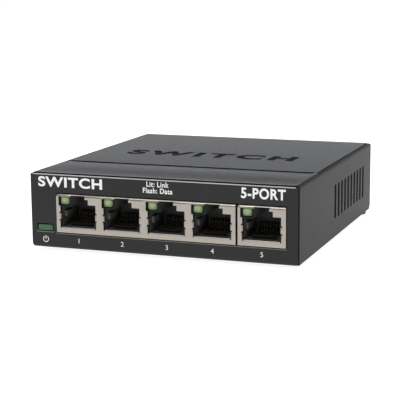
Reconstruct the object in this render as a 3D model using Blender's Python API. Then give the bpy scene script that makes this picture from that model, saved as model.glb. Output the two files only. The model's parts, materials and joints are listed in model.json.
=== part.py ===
"""Five-port desktop network switch, closed and standing on its feet.

The case is a folded steel tray (bottom, front and back) under a folded steel cover (top and sides). Inside,
a circuit board carries four ganged ports, one single port, the port and power lights, the power inlet and
the electronics. X runs across the front, +Y to the back and +Z up. The origin is on the desk, under the
middle of the case. Every number below is in millimetres, and MM turns it into metres.
"""

import math

import bmesh
import bpy
from mathutils import Matrix

MM = 0.001

# ---------------------------------------------------------------- driving dimensions
WIDTH = 94.0
DEPTH = 101.0
HEIGHT = 27.0
SHEET = 0.8
GAP = 0.3
SPARE = 1.0  # how far a cutter sticks out of what it cuts
FOOT_HEIGHT = 1.3

PORT_PITCH = 15.85
QUAD_CENTRE_X = -5.6
SINGLE_CENTRE_X = 34.9
JACK_LOW_Z = 6.9
JACK_HEIGHT = 13.3
JACK_DEPTH = 17.5
JACK_PROUD = 0.3

# ---------------------------------------------------------------- worked-out dimensions
HALF_WIDTH = WIDTH / 2
FRONT_Y = (JACK_PROUD - DEPTH) / 2
BACK_Y = (JACK_PROUD + DEPTH) / 2
INNER_FRONT_Y = FRONT_Y + SHEET
INNER_BACK_Y = BACK_Y - SHEET
BOTTOM_Z = FOOT_HEIGHT
FLOOR_Z = BOTTOM_Z + SHEET
INNER_SIDE_X = HALF_WIDTH - SHEET

BOARD_THICKNESS = 1.6
BOARD_TOP_Z = JACK_LOW_Z - GAP
BOARD_LOW_Z = BOARD_TOP_Z - BOARD_THICKNESS
PART_LOW_Z = BOARD_TOP_Z + GAP
BOARD_HALF_WIDTH = 44.5
BOARD_FRONT_Y = INNER_FRONT_Y + 0.4
BOARD_BACK_Y = 47.6
BOARD_SCREW_PLACES = [(-40.5, -10.0), (40.5, -10.0), (-40.5, 35.0), (40.5, 35.0)]
BOSS_RADIUS = 3.2
BOSS_FLARE = 0.8
BOARD_HOLE_RADIUS = 1.6
BOARD_HEAD_RADIUS = 2.7
BOARD_HEAD_HEIGHT = 1.8
SHANK_RADIUS = 1.25

PANEL_TOP_Z = 26.6
PANEL_LOWER_RADIUS = 1.0
PANEL_UPPER_RADIUS = 0.4
COVER_FRONT_Y = INNER_FRONT_Y + GAP
COVER_BACK_Y = INNER_BACK_Y - GAP
COVER_BEND = 1.2
GROOVE_Y = FRONT_Y + 26.8
GROOVE_X = HALF_WIDTH - 1.15
GROOVE_WIDTH = 0.45
GROOVE_DEPTH = 0.35
COVER_SCREW_PLACES = [(-41.5, -30.0), (41.5, -30.0), (-41.5, 16.0), (41.5, 16.0)]
COVER_HOLE_RADIUS = 1.6
COUNTERSINK_RADIUS = 3.9
COVER_HEAD_RADIUS = 2.6
COVER_SHANK_LENGTH = 2.6
TAB_HOLE_RADIUS = 1.55
TAB_LENGTH = 10.0
TAB_REACH_X = 37.5

VENT_COUNT = 10
VENT_PITCH = 4.63
VENT_FIRST_Y = FRONT_Y + 46.4
VENT_WIDTH = 2.1
VENT_LOW_Z = 7.75
VENT_HIGH_Z = 20.0

KEYHOLE_PLACES = [(-26.0, 6.0), (26.0, 6.0)]
KEYHOLE_HEAD_RADIUS = 3.6
KEYHOLE_NECK_RADIUS = 1.8
KEYHOLE_LENGTH = 6.0

FOOT_RADIUS = 4.5
FOOT_CHAMFER = 0.35
FOOT_PLACES = {
    "foot_front_left": (-37.0, -38.3),
    "foot_front_right": (37.0, -38.3),
    "foot_rear_left": (-42.0, 45.3),
    "foot_rear_right": (42.0, 45.3),
}

SHIELD_SHEET = 0.4
SINGLE_WIDTH = 16.1
QUAD_WIDTH = 63.6
JACK_FRONT_Y = FRONT_Y - JACK_PROUD
JACK_BACK_Y = JACK_FRONT_Y + JACK_DEPTH
JACK_TOP_Z = JACK_LOW_Z + JACK_HEIGHT
HOUSING_FRONT_Y = JACK_FRONT_Y + SHIELD_SHEET + GAP
HOUSING_BACK_Y = HOUSING_FRONT_Y + 13.9
HOUSING_TOP_Z = JACK_TOP_Z - SHIELD_SHEET - GAP
CAVITY_BACK_Y = HOUSING_BACK_Y - 1.6
CAVITY_FLOOR_Z = 8.95

LED_OFFSET_X = -4.9
LED_SIZE_X = 3.2
LED_SIDE_GAP = 0.55
LED_LOW_Z = 16.5
LED_HIGH_Z = 19.2
LED_BACK = 8.0
LEAD_WIDTH = 0.5
LEAD_OFFSET_X = 0.9

WIRE_COUNT = 8
WIRE_PITCH = 1.016
WIRE_WIDTH = 0.5
WIRE_THICKNESS = 0.35
COMB_Y = HOUSING_FRONT_Y + 2.0
COMB_Z = 9.75
COMB_RADIUS = 0.55
COMB_SIDE_GAP = 0.5
COMB_WELL_DEPTH = 0.35
# The contact wire's centre line, as (back, up) from the bar's axis.
WIRE_LINE = [(0.0, 0.0), (6.0, 1.9), (7.2, 1.9), (9.3, 0.95)]

WINDOW_X = -41.85
WINDOW_Z = 8.2
WINDOW_WIDTH = 6.0
WINDOW_HEIGHT = 2.6
PIPE_LENGTH = 6.0
LAMP_SIZE = (2.0, 1.3, 1.6)

INLET_X = -30.0
INLET_WIDTH = 9.0
INLET_LENGTH = 14.2
INLET_HEIGHT = 11.0
INLET_AXIS_Z = 13.1
INLET_CORNER_RADIUS = 0.5
INLET_BORE_RADIUS = 3.15
INLET_PIN_RADIUS = 1.0
INLET_BACK_Y = BACK_Y - 0.1
INLET_FRONT_Y = INLET_BACK_Y - INLET_LENGTH
INLET_BORE_END_Y = INLET_BACK_Y - 10.0
LEAF_ROOT_Y = INLET_BACK_Y - 8.6
LEAF_ROOT_Z = 9.0
LEAF_THICKNESS = 0.4
LEAF_HALF_WIDTH = 1.1
LEAF_WELL_HALF_WIDTH = 1.6
LEAF_WELL_DEPTH = 1.6
# The leaf's centre line, as (back, up) from its root: a rise to the crest, then a turned-down tip.
LEAF_LINE = [(-0.4, 0.0), (1.0, 0.0), (4.6, 1.25), (5.2, 1.3), (5.8, 1.25), (6.8, 0.7)]

TRANSFORMER_Y = -23.0
TRANSFORMER_SIZE = (9.4, 14.8, 5.6)
SWITCH_CHIP_SIZE = (14.0, 14.0, 1.5)
SMALL_CHIP_SIZE = (3.9, 4.9, 1.6)
SMALL_CHIP_PLACES = {
    "settings_chip": (22.0, -6.0),
    "regulator_chip_1": (-6.0, 25.0),
    "regulator_chip_2": (12.0, 25.0),
}
CHIP_SEAM = 0.4
CHIP_DRAFT = 0.12
LEG_COUNT = 4
LEG_PITCH = 1.27
LEG_WIDTH = 0.4
LEG_HEIGHT = 0.35
LEG_REACH = 1.0
INDUCTOR_PLACES = {"power_inductor_1": (-6.0, 35.0), "power_inductor_2": (12.0, 35.0)}
INDUCTOR_SIZE = (7.3, 7.3, 4.2)
INDUCTOR_CORNER_RADIUS = 1.2
# Each can, as (x, y, radius, height).
CAPACITORS = {
    "round_capacitor_1": (-18.0, 40.0, 4.0, 9.0),
    "round_capacitor_2": (-18.0, 28.0, 4.0, 9.0),
    "round_capacitor_3": (24.0, 32.0, 3.15, 7.0),
}
CAN_RING_Z = 1.2
CAN_RING_HALF = 0.3
CAN_RING_DEPTH = 0.25
CAN_BEVEL = 0.4
CRYSTAL_PLACE = (21.0, 6.0)
CRYSTAL_SIZE = (11.0, 4.6, 3.5)
CRYSTAL_CORNER_RADIUS = 2.2

FOOT_STEPS = 24
ROUND_STEPS = 16
CORNER_STEPS = 4
SHARP_ANGLE = 35

# Half outline of a port opening, as (half width, top) of each step up from the floor.
SHIELD_STEPS = [(6.45, 16.75), (3.7, 18.5), (2.5, 19.75)]
CAVITY_STEPS = [(5.95, 16.3), (3.4, 18.1), (2.1, 19.25)]
SHIELD_FLOOR_Z = 8.6


# ---------------------------------------------------------------- materials
def material(name, colour, roughness, metallic=0.0):
    made = bpy.data.materials.new(name)
    made.use_nodes = True
    shader = made.node_tree.nodes["Principled BSDF"]
    shader.inputs["Base Color"].default_value = (*colour, 1.0)
    shader.inputs["Roughness"].default_value = roughness
    shader.inputs["Metallic"].default_value = metallic
    return made


def make_materials():
    return {
        "black_paint": material("black_paint", (0.030, 0.030, 0.032), 0.55),
        "rubber": material("rubber", (0.012, 0.012, 0.012), 0.8),
        "nickel": material("nickel", (0.62, 0.59, 0.54), 0.35, 1.0),
        "steel": material("steel", (0.45, 0.45, 0.46), 0.3, 1.0),
        "black_plastic": material("black_plastic", (0.015, 0.015, 0.016), 0.5),
        "gold": material("gold", (0.80, 0.58, 0.24), 0.25, 1.0),
        "green_lens": material("green_lens", (0.25, 0.55, 0.16), 0.2),
        "green_window": material("green_window", (0.03, 0.17, 0.06), 0.25),
        "board_green": material("board_green", (0.02, 0.10, 0.045), 0.45),
        "chip_black": material("chip_black", (0.02, 0.02, 0.021), 0.6),
        "can_silver": material("can_silver", (0.60, 0.60, 0.60), 0.3, 1.0),
        "ferrite": material("ferrite", (0.07, 0.07, 0.075), 0.7),
    }


# ---------------------------------------------------------------- outlines
def arc(centre, radius, start, end, steps):
    """Points along an arc, angles in degrees, both ends included."""
    points = []
    for i in range(steps + 1):
        angle = math.radians(start + (end - start) * i / steps)
        points.append((centre[0] + radius * math.cos(angle), centre[1] + radius * math.sin(angle)))
    return points


def rounded(corners, steps=CORNER_STEPS):
    """A closed outline through (u, v, radius) corners, each rounded to its radius."""
    outline = []
    for i, (u, v, radius) in enumerate(corners):
        if radius == 0:
            outline.append((u, v))
            continue
        before, after = corners[i - 1], corners[(i + 1) % len(corners)]
        unit_in = unit(before[0] - u, before[1] - v)
        unit_out = unit(after[0] - u, after[1] - v)
        centre = (u + radius * (unit_in[0] + unit_out[0]), v + radius * (unit_in[1] + unit_out[1]))
        start = math.degrees(math.atan2(-unit_out[1], -unit_out[0]))
        turn = math.degrees(math.atan2(-unit_in[1], -unit_in[0])) - start
        turn = (turn + 180) % 360 - 180
        outline += arc(centre, radius, start, start + turn, steps)
    return outline


def unit(du, dv):
    length = math.hypot(du, dv)
    return du / length, dv / length


def rectangle(u, v, width, height, radius=0.0):
    """A rectangle about (u, v), with all corners rounded to one radius."""
    left, right = u - width / 2, u + width / 2
    low, high = v - height / 2, v + height / 2
    return rounded([(left, low, radius), (right, low, radius), (right, high, radius), (left, high, radius)])


def stadium(u, low, high, width, steps=6):
    """An upright slot with round ends."""
    radius = width / 2
    return arc((u, low + radius), radius, 180, 360, steps) + arc((u, high - radius), radius, 0, 180, steps)


def half_opening(centre_x, floor_z, steps):
    """The right half of a port's outline: full width at the plug, then narrower steps up for its latch."""
    points = []
    low = floor_z
    for half_width, top in steps:
        points += [(centre_x + half_width, low), (centre_x + half_width, top)]
        low = top
    return points


def stepped_opening(centre_x, floor_z, steps):
    right = half_opening(centre_x, floor_z, steps)
    return right + [(2 * centre_x - x, z) for x, z in reversed(right)]


# ---------------------------------------------------------------- solids
def add_prism(bm, outline, axis, low, high):
    """Extrudes an outline along an axis. Its plane's axes are the other two, in X, Y, Z order."""
    place = {
        "X": lambda u, v, along: (along, u, v),
        "Y": lambda u, v, along: (u, along, v),
        "Z": lambda u, v, along: (u, v, along),
    }[axis]
    near = [bm.verts.new(place(u, v, low)) for u, v in outline]
    far = [bm.verts.new(place(u, v, high)) for u, v in outline]
    count = len(outline)
    faces = [bm.faces.new(near), bm.faces.new(far)]
    for i in range(count):
        after = (i + 1) % count
        faces.append(bm.faces.new((near[i], near[after], far[after], far[i])))
    bmesh.ops.recalc_face_normals(bm, faces=faces)


def add_box(bm, low, high):
    footprint = [(low[0], low[1]), (high[0], low[1]), (high[0], high[1]), (low[0], high[1])]
    add_prism(bm, footprint, "Z", low[2], high[2])


def add_turned(bm, profile, axis="Z", centre=(0, 0, 0), steps=ROUND_STEPS):
    """Turns (radius, along) points round an axis through centre. Both ends close on flat discs."""
    frame = {
        "X": lambda a, b, along: (along, a, b),
        "Y": lambda a, b, along: (b, along, a),
        "Z": lambda a, b, along: (a, b, along),
    }[axis]
    rings = []
    for radius, along in profile:
        ring = []
        for i in range(steps):
            angle = math.tau * i / steps
            point = frame(radius * math.cos(angle), radius * math.sin(angle), along)
            ring.append(bm.verts.new([p + c for p, c in zip(point, centre)]))
        rings.append(ring)
    faces = [bm.faces.new(rings[0]), bm.faces.new(rings[-1])]
    for one, other in zip(rings, rings[1:]):
        for i in range(steps):
            after = (i + 1) % steps
            faces.append(bm.faces.new((one[i], one[after], other[after], other[i])))
    bmesh.ops.recalc_face_normals(bm, faces=faces)


def add_hole(bm, radius, low, high, centre):
    """A straight cutter along Z that sticks out by SPARE past both faces of the sheet it cuts."""
    add_turned(bm, [(radius, low - SPARE), (radius, high + SPARE)], centre=centre)


def finish(name, bm, surface=None, origin=(0, 0, 0), smooth=False):
    """Makes the object from a mesh drawn in the case's own millimetres, with its origin where it pivots."""
    mesh = bpy.data.meshes.new(name)
    bmesh.ops.translate(bm, verts=bm.verts, vec=[-c for c in origin])
    bm.to_mesh(mesh)
    bm.free()
    mesh.transform(Matrix.Scale(MM, 4))
    if surface:
        mesh.materials.append(surface)
    if smooth:
        mesh.shade_smooth()
        mesh.set_sharp_from_angle(angle=math.radians(SHARP_ANGLE))
    made = bpy.data.objects.new(name, mesh)
    made.location = [c * MM for c in origin]
    bpy.context.scene.collection.objects.link(made)
    return made


def box(name, low, high, surface):
    bm = bmesh.new()
    add_box(bm, low, high)
    return finish(name, bm, surface)


def helper(name, bm):
    """A shape that a Boolean uses and that isn't itself a piece."""
    made = finish(name, bm)
    made.hide_render = True
    made.display_type = "WIRE"
    return made


def combine(target, other, operation):
    modifier = target.modifiers.new(f"{operation.lower()}_{other.name}", "BOOLEAN")
    modifier.operation = operation
    modifier.solver = "EXACT"
    modifier.object = other


# ---------------------------------------------------------------- case
def make_tray(surfaces):
    """Bottom sheet with its front and back walls folded up, and a tapped boss under each board screw."""
    bm = bmesh.new()
    add_box(bm, (-INNER_SIDE_X + GAP, FRONT_Y + 0.1, BOTTOM_Z), (INNER_SIDE_X - GAP, BACK_Y - 0.1, FLOOR_Z))
    tray = finish("bottom_tray", bm, surfaces["black_paint"])

    panel = rounded([
        (-HALF_WIDTH, BOTTOM_Z, PANEL_LOWER_RADIUS),
        (HALF_WIDTH, BOTTOM_Z, PANEL_LOWER_RADIUS),
        (HALF_WIDTH, PANEL_TOP_Z, PANEL_UPPER_RADIUS),
        (-HALF_WIDTH, PANEL_TOP_Z, PANEL_UPPER_RADIUS),
    ])
    bm = bmesh.new()
    add_prism(bm, panel, "Y", FRONT_Y, INNER_FRONT_Y)
    add_prism(bm, panel, "Y", INNER_BACK_Y, BACK_Y)
    for x, y in BOARD_SCREW_PLACES:
        boss = [(BOSS_RADIUS + BOSS_FLARE, FLOOR_Z - SHEET / 2), (BOSS_RADIUS, BOARD_LOW_Z - GAP)]
        add_turned(bm, boss, centre=(x, y, 0))
    combine(tray, helper("tray_walls", bm), "UNION")

    bm = bmesh.new()
    add_front_openings(bm)
    add_back_opening(bm)
    for x, y in BOARD_SCREW_PLACES:
        add_hole(bm, BOARD_HOLE_RADIUS, BOTTOM_Z, BOARD_LOW_Z, centre=(x, y, 0))
    for x, y in COVER_SCREW_PLACES:
        countersink = [
            (COUNTERSINK_RADIUS, BOTTOM_Z - 0.5),
            (COVER_HOLE_RADIUS, FLOOR_Z),
            (COVER_HOLE_RADIUS, FLOOR_Z + SPARE),
        ]
        add_turned(bm, countersink, centre=(x, y, 0))
    combine(tray, helper("tray_cuts", bm), "DIFFERENCE")

    bm = bmesh.new()
    for x, y in KEYHOLE_PLACES:
        add_hole(bm, KEYHOLE_HEAD_RADIUS, BOTTOM_Z, FLOOR_Z, centre=(x, y, 0))
    combine(tray, helper("keyhole_heads", bm), "DIFFERENCE")
    bm = bmesh.new()
    for x, y in KEYHOLE_PLACES:
        neck = stadium(x, y, y + KEYHOLE_LENGTH + KEYHOLE_NECK_RADIUS, 2 * KEYHOLE_NECK_RADIUS)
        add_prism(bm, neck, "Z", BOTTOM_Z - SPARE, FLOOR_Z + SPARE)
    combine(tray, helper("keyhole_necks", bm), "DIFFERENCE")


def add_front_openings(bm):
    """One opening round both port blocks, and the power light's window."""
    ports_left = QUAD_CENTRE_X - QUAD_WIDTH / 2 - GAP
    ports_right = SINGLE_CENTRE_X + SINGLE_WIDTH / 2 + GAP
    add_box(
        bm,
        (ports_left, FRONT_Y - SPARE, JACK_LOW_Z - GAP),
        (ports_right, INNER_FRONT_Y + SPARE, JACK_TOP_Z + GAP),
    )
    window = rectangle(WINDOW_X, WINDOW_Z, WINDOW_WIDTH, WINDOW_HEIGHT)
    add_prism(bm, window, "Y", FRONT_Y - SPARE, INNER_FRONT_Y + SPARE)


def add_back_opening(bm):
    """The hole that shows the power inlet's face."""
    middle_z = PART_LOW_Z + INLET_HEIGHT / 2
    face = rectangle(INLET_X, middle_z, INLET_WIDTH + 2 * GAP, INLET_HEIGHT + 2 * GAP, INLET_CORNER_RADIUS)
    add_prism(bm, face, "Y", INNER_BACK_Y - SPARE, BACK_Y + SPARE)


def make_cover(surfaces):
    """Top sheet with its sides folded down, vents in both sides and a tab over each bottom screw."""
    sheet = rounded([
        (-HALF_WIDTH, BOTTOM_Z, 0),
        (-INNER_SIDE_X, BOTTOM_Z, 0),
        (-INNER_SIDE_X, HEIGHT - SHEET, COVER_BEND - SHEET),
        (INNER_SIDE_X, HEIGHT - SHEET, COVER_BEND - SHEET),
        (INNER_SIDE_X, BOTTOM_Z, 0),
        (HALF_WIDTH, BOTTOM_Z, 0),
        (HALF_WIDTH, HEIGHT, COVER_BEND),
        (-HALF_WIDTH, HEIGHT, COVER_BEND),
    ])
    bm = bmesh.new()
    add_prism(bm, sheet, "Y", COVER_FRONT_Y, COVER_BACK_Y)
    cover = finish("top_cover", bm, surfaces["black_paint"], smooth=True)

    tab_low = FLOOR_Z + GAP
    bm = bmesh.new()
    for x, y in COVER_SCREW_PLACES:
        side = math.copysign(1, x)
        ends = sorted((side * TAB_REACH_X, side * (INNER_SIDE_X + SHEET / 2)))
        add_box(
            bm,
            (ends[0], y - TAB_LENGTH / 2, tab_low),
            (ends[1], y + TAB_LENGTH / 2, tab_low + SHEET),
        )
    combine(cover, helper("cover_tabs", bm), "UNION")

    bm = bmesh.new()
    for i in range(VENT_COUNT):
        slot = stadium(VENT_FIRST_Y + i * VENT_PITCH, VENT_LOW_Z, VENT_HIGH_Z, VENT_WIDTH, steps=3)
        add_prism(bm, slot, "X", -HALF_WIDTH - SPARE, HALF_WIDTH + SPARE)
    for x, y in COVER_SCREW_PLACES:
        add_hole(bm, TAB_HOLE_RADIUS, tab_low, tab_low + SHEET, centre=(x, y, 0))
    combine(cover, helper("cover_cuts", bm), "DIFFERENCE")

    half = GROOVE_WIDTH / 2
    path = [
        (-GROOVE_X - half, BACK_Y),
        (-GROOVE_X - half, GROOVE_Y - half),
        (GROOVE_X + half, GROOVE_Y - half),
        (GROOVE_X + half, BACK_Y),
        (GROOVE_X - half, BACK_Y),
        (GROOVE_X - half, GROOVE_Y + half),
        (-GROOVE_X + half, GROOVE_Y + half),
        (-GROOVE_X + half, BACK_Y),
    ]
    bm = bmesh.new()
    add_prism(bm, path, "Z", HEIGHT - GROOVE_DEPTH, HEIGHT + SPARE)
    combine(cover, helper("cover_groove", bm), "DIFFERENCE")


def make_cover_screws(surfaces):
    """Countersunk screws that go up through the tray into the cover's tabs."""
    for number, (x, y) in enumerate(COVER_SCREW_PLACES, start=1):
        bm = bmesh.new()
        profile = [
            (COVER_HEAD_RADIUS, BOTTOM_Z + 0.05),
            (SHANK_RADIUS, FLOOR_Z),
            (SHANK_RADIUS, FLOOR_Z + COVER_SHANK_LENGTH),
        ]
        add_turned(bm, profile, centre=(x, y, 0))
        finish(f"cover_screw_{number}", bm, surfaces["steel"], smooth=True)


def make_feet(surfaces):
    for name, (x, y) in FOOT_PLACES.items():
        bm = bmesh.new()
        profile = [
            (FOOT_RADIUS - FOOT_CHAMFER, 0.0),
            (FOOT_RADIUS, FOOT_CHAMFER),
            (FOOT_RADIUS, BOTTOM_Z - GAP),
        ]
        add_turned(bm, profile, centre=(x, y, 0), steps=FOOT_STEPS)
        finish(name, bm, surfaces["rubber"], smooth=True)


# ---------------------------------------------------------------- ports
def make_shield(name, centre_x, width, port_centres, surfaces):
    """A folded metal can, open below, with a stepped opening and a light's notch for each port."""
    left, right = centre_x - width / 2, centre_x + width / 2
    bm = bmesh.new()
    add_box(bm, (left, JACK_FRONT_Y, JACK_LOW_Z), (right, JACK_BACK_Y, JACK_TOP_Z))
    shield = finish(name, bm, surfaces["nickel"])

    bm = bmesh.new()
    add_box(
        bm,
        (left + SHIELD_SHEET, JACK_FRONT_Y + SHIELD_SHEET, JACK_LOW_Z - SPARE),
        (right - SHIELD_SHEET, JACK_BACK_Y - SHIELD_SHEET, JACK_TOP_Z - SHIELD_SHEET),
    )
    combine(shield, helper(f"{name}_inside", bm), "DIFFERENCE")

    bm = bmesh.new()
    for x in port_centres:
        add_prism(bm, shield_opening(x), "Y", JACK_FRONT_Y - SPARE, JACK_FRONT_Y + SHIELD_SHEET + GAP / 2)
    combine(shield, helper(f"{name}_openings", bm), "DIFFERENCE")


def shield_opening(x):
    """The stepped opening, with its upper left cut square for the port's light."""
    light_left = x + LED_OFFSET_X - LED_SIZE_X / 2 - LED_SIDE_GAP
    latch_left = x - SHIELD_STEPS[2][0]
    plug_left = x - SHIELD_STEPS[0][0]
    return half_opening(x, SHIELD_FLOOR_Z, SHIELD_STEPS) + [
        (latch_left, SHIELD_STEPS[2][1]),
        (latch_left, LED_HIGH_Z),
        (light_left, LED_HIGH_Z),
        (light_left, LED_LOW_Z - GAP),
        (plug_left, LED_LOW_Z - GAP),
        (plug_left, SHIELD_FLOOR_Z),
    ]


def make_housing(name, centre_x, width, port_centres, surfaces):
    """The moulded block inside a shield, with a plug cavity and a light's channel for each port."""
    inset = SHIELD_SHEET + GAP
    bm = bmesh.new()
    add_box(
        bm,
        (centre_x - width / 2 + inset, HOUSING_FRONT_Y, JACK_LOW_Z),
        (centre_x + width / 2 - inset, HOUSING_BACK_Y, HOUSING_TOP_Z),
    )
    housing = finish(name, bm, surfaces["black_plastic"])

    bm = bmesh.new()
    for x in port_centres:
        cavity = stepped_opening(x, CAVITY_FLOOR_Z, CAVITY_STEPS)
        add_prism(bm, cavity, "Y", HOUSING_FRONT_Y - SPARE, CAVITY_BACK_Y)
    combine(housing, helper(f"{name}_cavities", bm), "DIFFERENCE")

    bm = bmesh.new()
    for x in port_centres:
        led_x = x + LED_OFFSET_X
        half = LED_SIZE_X / 2 + GAP
        add_box(
            bm,
            (led_x - half, HOUSING_FRONT_Y - SPARE, LED_LOW_Z - GAP),
            (led_x + half, HOUSING_BACK_Y + SPARE, HOUSING_TOP_Z + SPARE),
        )
    combine(housing, helper(f"{name}_light_channels", bm), "DIFFERENCE")

    bm = bmesh.new()
    for x in port_centres:
        half = WIRE_COUNT * WIRE_PITCH / 2 + COMB_SIDE_GAP
        add_box(
            bm,
            (x - half, COMB_Y - COMB_RADIUS - GAP, CAVITY_FLOOR_Z - COMB_WELL_DEPTH),
            (x + half, CAVITY_BACK_Y, CAVITY_FLOOR_Z + SPARE / 2),
        )
    combine(housing, helper(f"{name}_comb_wells", bm), "DIFFERENCE")


def make_contacts(number, centre_x, surfaces):
    """Eight sprung contact wires on one moulded bar. The bar's axis is where the wires flex."""
    origin = (centre_x, COMB_Y, COMB_Z)
    half_bar = WIRE_COUNT * WIRE_PITCH / 2
    bm = bmesh.new()
    bar = [(COMB_RADIUS, centre_x - half_bar), (COMB_RADIUS, centre_x + half_bar)]
    add_turned(bm, bar, axis="X", centre=(0, COMB_Y, COMB_Z), steps=12)
    contacts = finish(f"port_contacts_{number}", bm, surfaces["gold"], origin)

    bm = bmesh.new()
    for i in range(WIRE_COUNT):
        x = centre_x + (i - (WIRE_COUNT - 1) / 2) * WIRE_PITCH
        add_prism(bm, wire_outline(), "X", x - WIRE_WIDTH / 2, x + WIRE_WIDTH / 2)
    wires = helper(f"contact_wires_{number}", bm)
    combine(contacts, wires, "UNION")


def wire_outline():
    """Side view of a contact wire: up and back from the bar, over a crest, then down at its free end."""
    return strip_outline(WIRE_LINE, COMB_Y, COMB_Z, WIRE_THICKNESS)


def strip_outline(centre_line, root_y, root_z, thickness):
    """Side view of a thin bent strip whose centre line is measured from its root."""
    half = thickness / 2
    lower = [(root_y + y, root_z + z - half) for y, z in centre_line]
    upper = [(root_y + y, root_z + z + half) for y, z in reversed(centre_line)]
    return lower + upper


def make_port_light(number, centre_x, surfaces):
    """A rectangular lamp in the upper left of a port, with its two leads bent down behind the housing."""
    x = centre_x + LED_OFFSET_X
    bm = bmesh.new()
    add_box(
        bm,
        (x - LED_SIZE_X / 2, JACK_FRONT_Y + SHIELD_SHEET + 0.1, LED_LOW_Z),
        (x + LED_SIZE_X / 2, JACK_FRONT_Y + LED_BACK, LED_HIGH_Z),
    )
    light = finish(f"port_light_{number}", bm, surfaces["green_lens"])

    mid_z = (LED_LOW_Z + LED_HIGH_Z) / 2
    lead_y = HOUSING_BACK_Y + 2 * GAP
    half = LEAD_WIDTH / 2
    bm = bmesh.new()
    for lead_x in (x - LEAD_OFFSET_X, x + LEAD_OFFSET_X):
        add_prism(bm, lead_outline(mid_z, lead_y), "X", lead_x - half, lead_x + half)
    combine(light, helper(f"light_leads_{number}", bm), "UNION")


def lead_outline(height_z, lead_y):
    """Side view of a lead that runs back from the lamp and turns down to the board."""
    root_y = JACK_FRONT_Y + LED_BACK - 0.5
    half = LEAD_WIDTH / 2
    return [
        (root_y, height_z - half),
        (lead_y, height_z - half),
        (lead_y, PART_LOW_Z),
        (lead_y + LEAD_WIDTH, PART_LOW_Z),
        (lead_y + LEAD_WIDTH, height_z + half),
        (root_y, height_z + half),
    ]


def quad_centres():
    return [QUAD_CENTRE_X + (i - 1.5) * PORT_PITCH for i in range(4)]


def make_ports(surfaces):
    quad = quad_centres()
    make_shield("quad_port_shield", QUAD_CENTRE_X, QUAD_WIDTH, quad, surfaces)
    make_housing("quad_port_housing", QUAD_CENTRE_X, QUAD_WIDTH, quad, surfaces)
    make_shield("single_port_shield", SINGLE_CENTRE_X, SINGLE_WIDTH, [SINGLE_CENTRE_X], surfaces)
    make_housing("single_port_housing", SINGLE_CENTRE_X, SINGLE_WIDTH, [SINGLE_CENTRE_X], surfaces)
    for number, x in enumerate([*quad, SINGLE_CENTRE_X], start=1):
        make_contacts(number, x, surfaces)
        make_port_light(number, x, surfaces)


# ---------------------------------------------------------------- power
def make_power_light(surfaces):
    """A clear bar that carries a surface-mounted lamp's light to the window in the front."""
    half_width = WINDOW_WIDTH / 2 - GAP
    half_height = WINDOW_HEIGHT / 2 - GAP
    lamp_y = FRONT_Y + PIPE_LENGTH + GAP
    box(
        "power_light_pipe",
        (WINDOW_X - half_width, FRONT_Y + GAP / 2, WINDOW_Z - half_height),
        (WINDOW_X + half_width, FRONT_Y + PIPE_LENGTH, WINDOW_Z + half_height),
        surfaces["green_window"],
    )
    width, depth, height = LAMP_SIZE
    box(
        "power_lamp",
        (WINDOW_X - width / 2, lamp_y, PART_LOW_Z),
        (WINDOW_X + width / 2, lamp_y + depth, PART_LOW_Z + height),
        surfaces["green_lens"],
    )


def make_inlet(surfaces):
    """The round low-voltage inlet: a moulded block, a centre pin and a sprung leaf below the plug."""
    bm = bmesh.new()
    half = INLET_WIDTH / 2
    add_box(
        bm,
        (INLET_X - half, INLET_FRONT_Y, PART_LOW_Z),
        (INLET_X + half, INLET_BACK_Y, PART_LOW_Z + INLET_HEIGHT),
    )
    block = finish("power_inlet_housing", bm, surfaces["black_plastic"])

    axis = (INLET_X, 0, INLET_AXIS_Z)
    bm = bmesh.new()
    bore = [(INLET_BORE_RADIUS, INLET_BORE_END_Y), (INLET_BORE_RADIUS, INLET_BACK_Y + SPARE)]
    add_turned(bm, bore, "Y", axis)
    combine(block, helper("inlet_bore", bm), "DIFFERENCE")
    bm = bmesh.new()
    hole_radius = INLET_PIN_RADIUS + GAP
    pin_hole = [(hole_radius, INLET_FRONT_Y - SPARE), (hole_radius, INLET_BORE_END_Y + SPARE)]
    add_turned(bm, pin_hole, "Y", axis)
    combine(block, helper("inlet_pin_hole", bm), "DIFFERENCE")
    bm = bmesh.new()
    add_box(
        bm,
        (INLET_X - LEAF_WELL_HALF_WIDTH, LEAF_ROOT_Y - 1.0, LEAF_ROOT_Z - LEAF_WELL_DEPTH),
        (INLET_X + LEAF_WELL_HALF_WIDTH, INLET_BACK_Y - 1.2, INLET_AXIS_Z - INLET_BORE_RADIUS + 1.2),
    )
    combine(block, helper("inlet_leaf_well", bm), "DIFFERENCE")

    bm = bmesh.new()
    profile = [
        (INLET_PIN_RADIUS, INLET_FRONT_Y + 0.5),
        (INLET_PIN_RADIUS, INLET_BACK_Y - 1.0),
        (INLET_PIN_RADIUS * 0.5, INLET_BACK_Y - 0.5),
    ]
    add_turned(bm, profile, "Y", axis)
    finish("power_inlet_pin", bm, surfaces["nickel"], smooth=True)

    bm = bmesh.new()
    leaf = strip_outline(LEAF_LINE, LEAF_ROOT_Y, LEAF_ROOT_Z, LEAF_THICKNESS)
    add_prism(bm, leaf, "X", INLET_X - LEAF_HALF_WIDTH, INLET_X + LEAF_HALF_WIDTH)
    finish("power_inlet_leaf", bm, surfaces["nickel"], (INLET_X, LEAF_ROOT_Y, LEAF_ROOT_Z))


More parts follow.
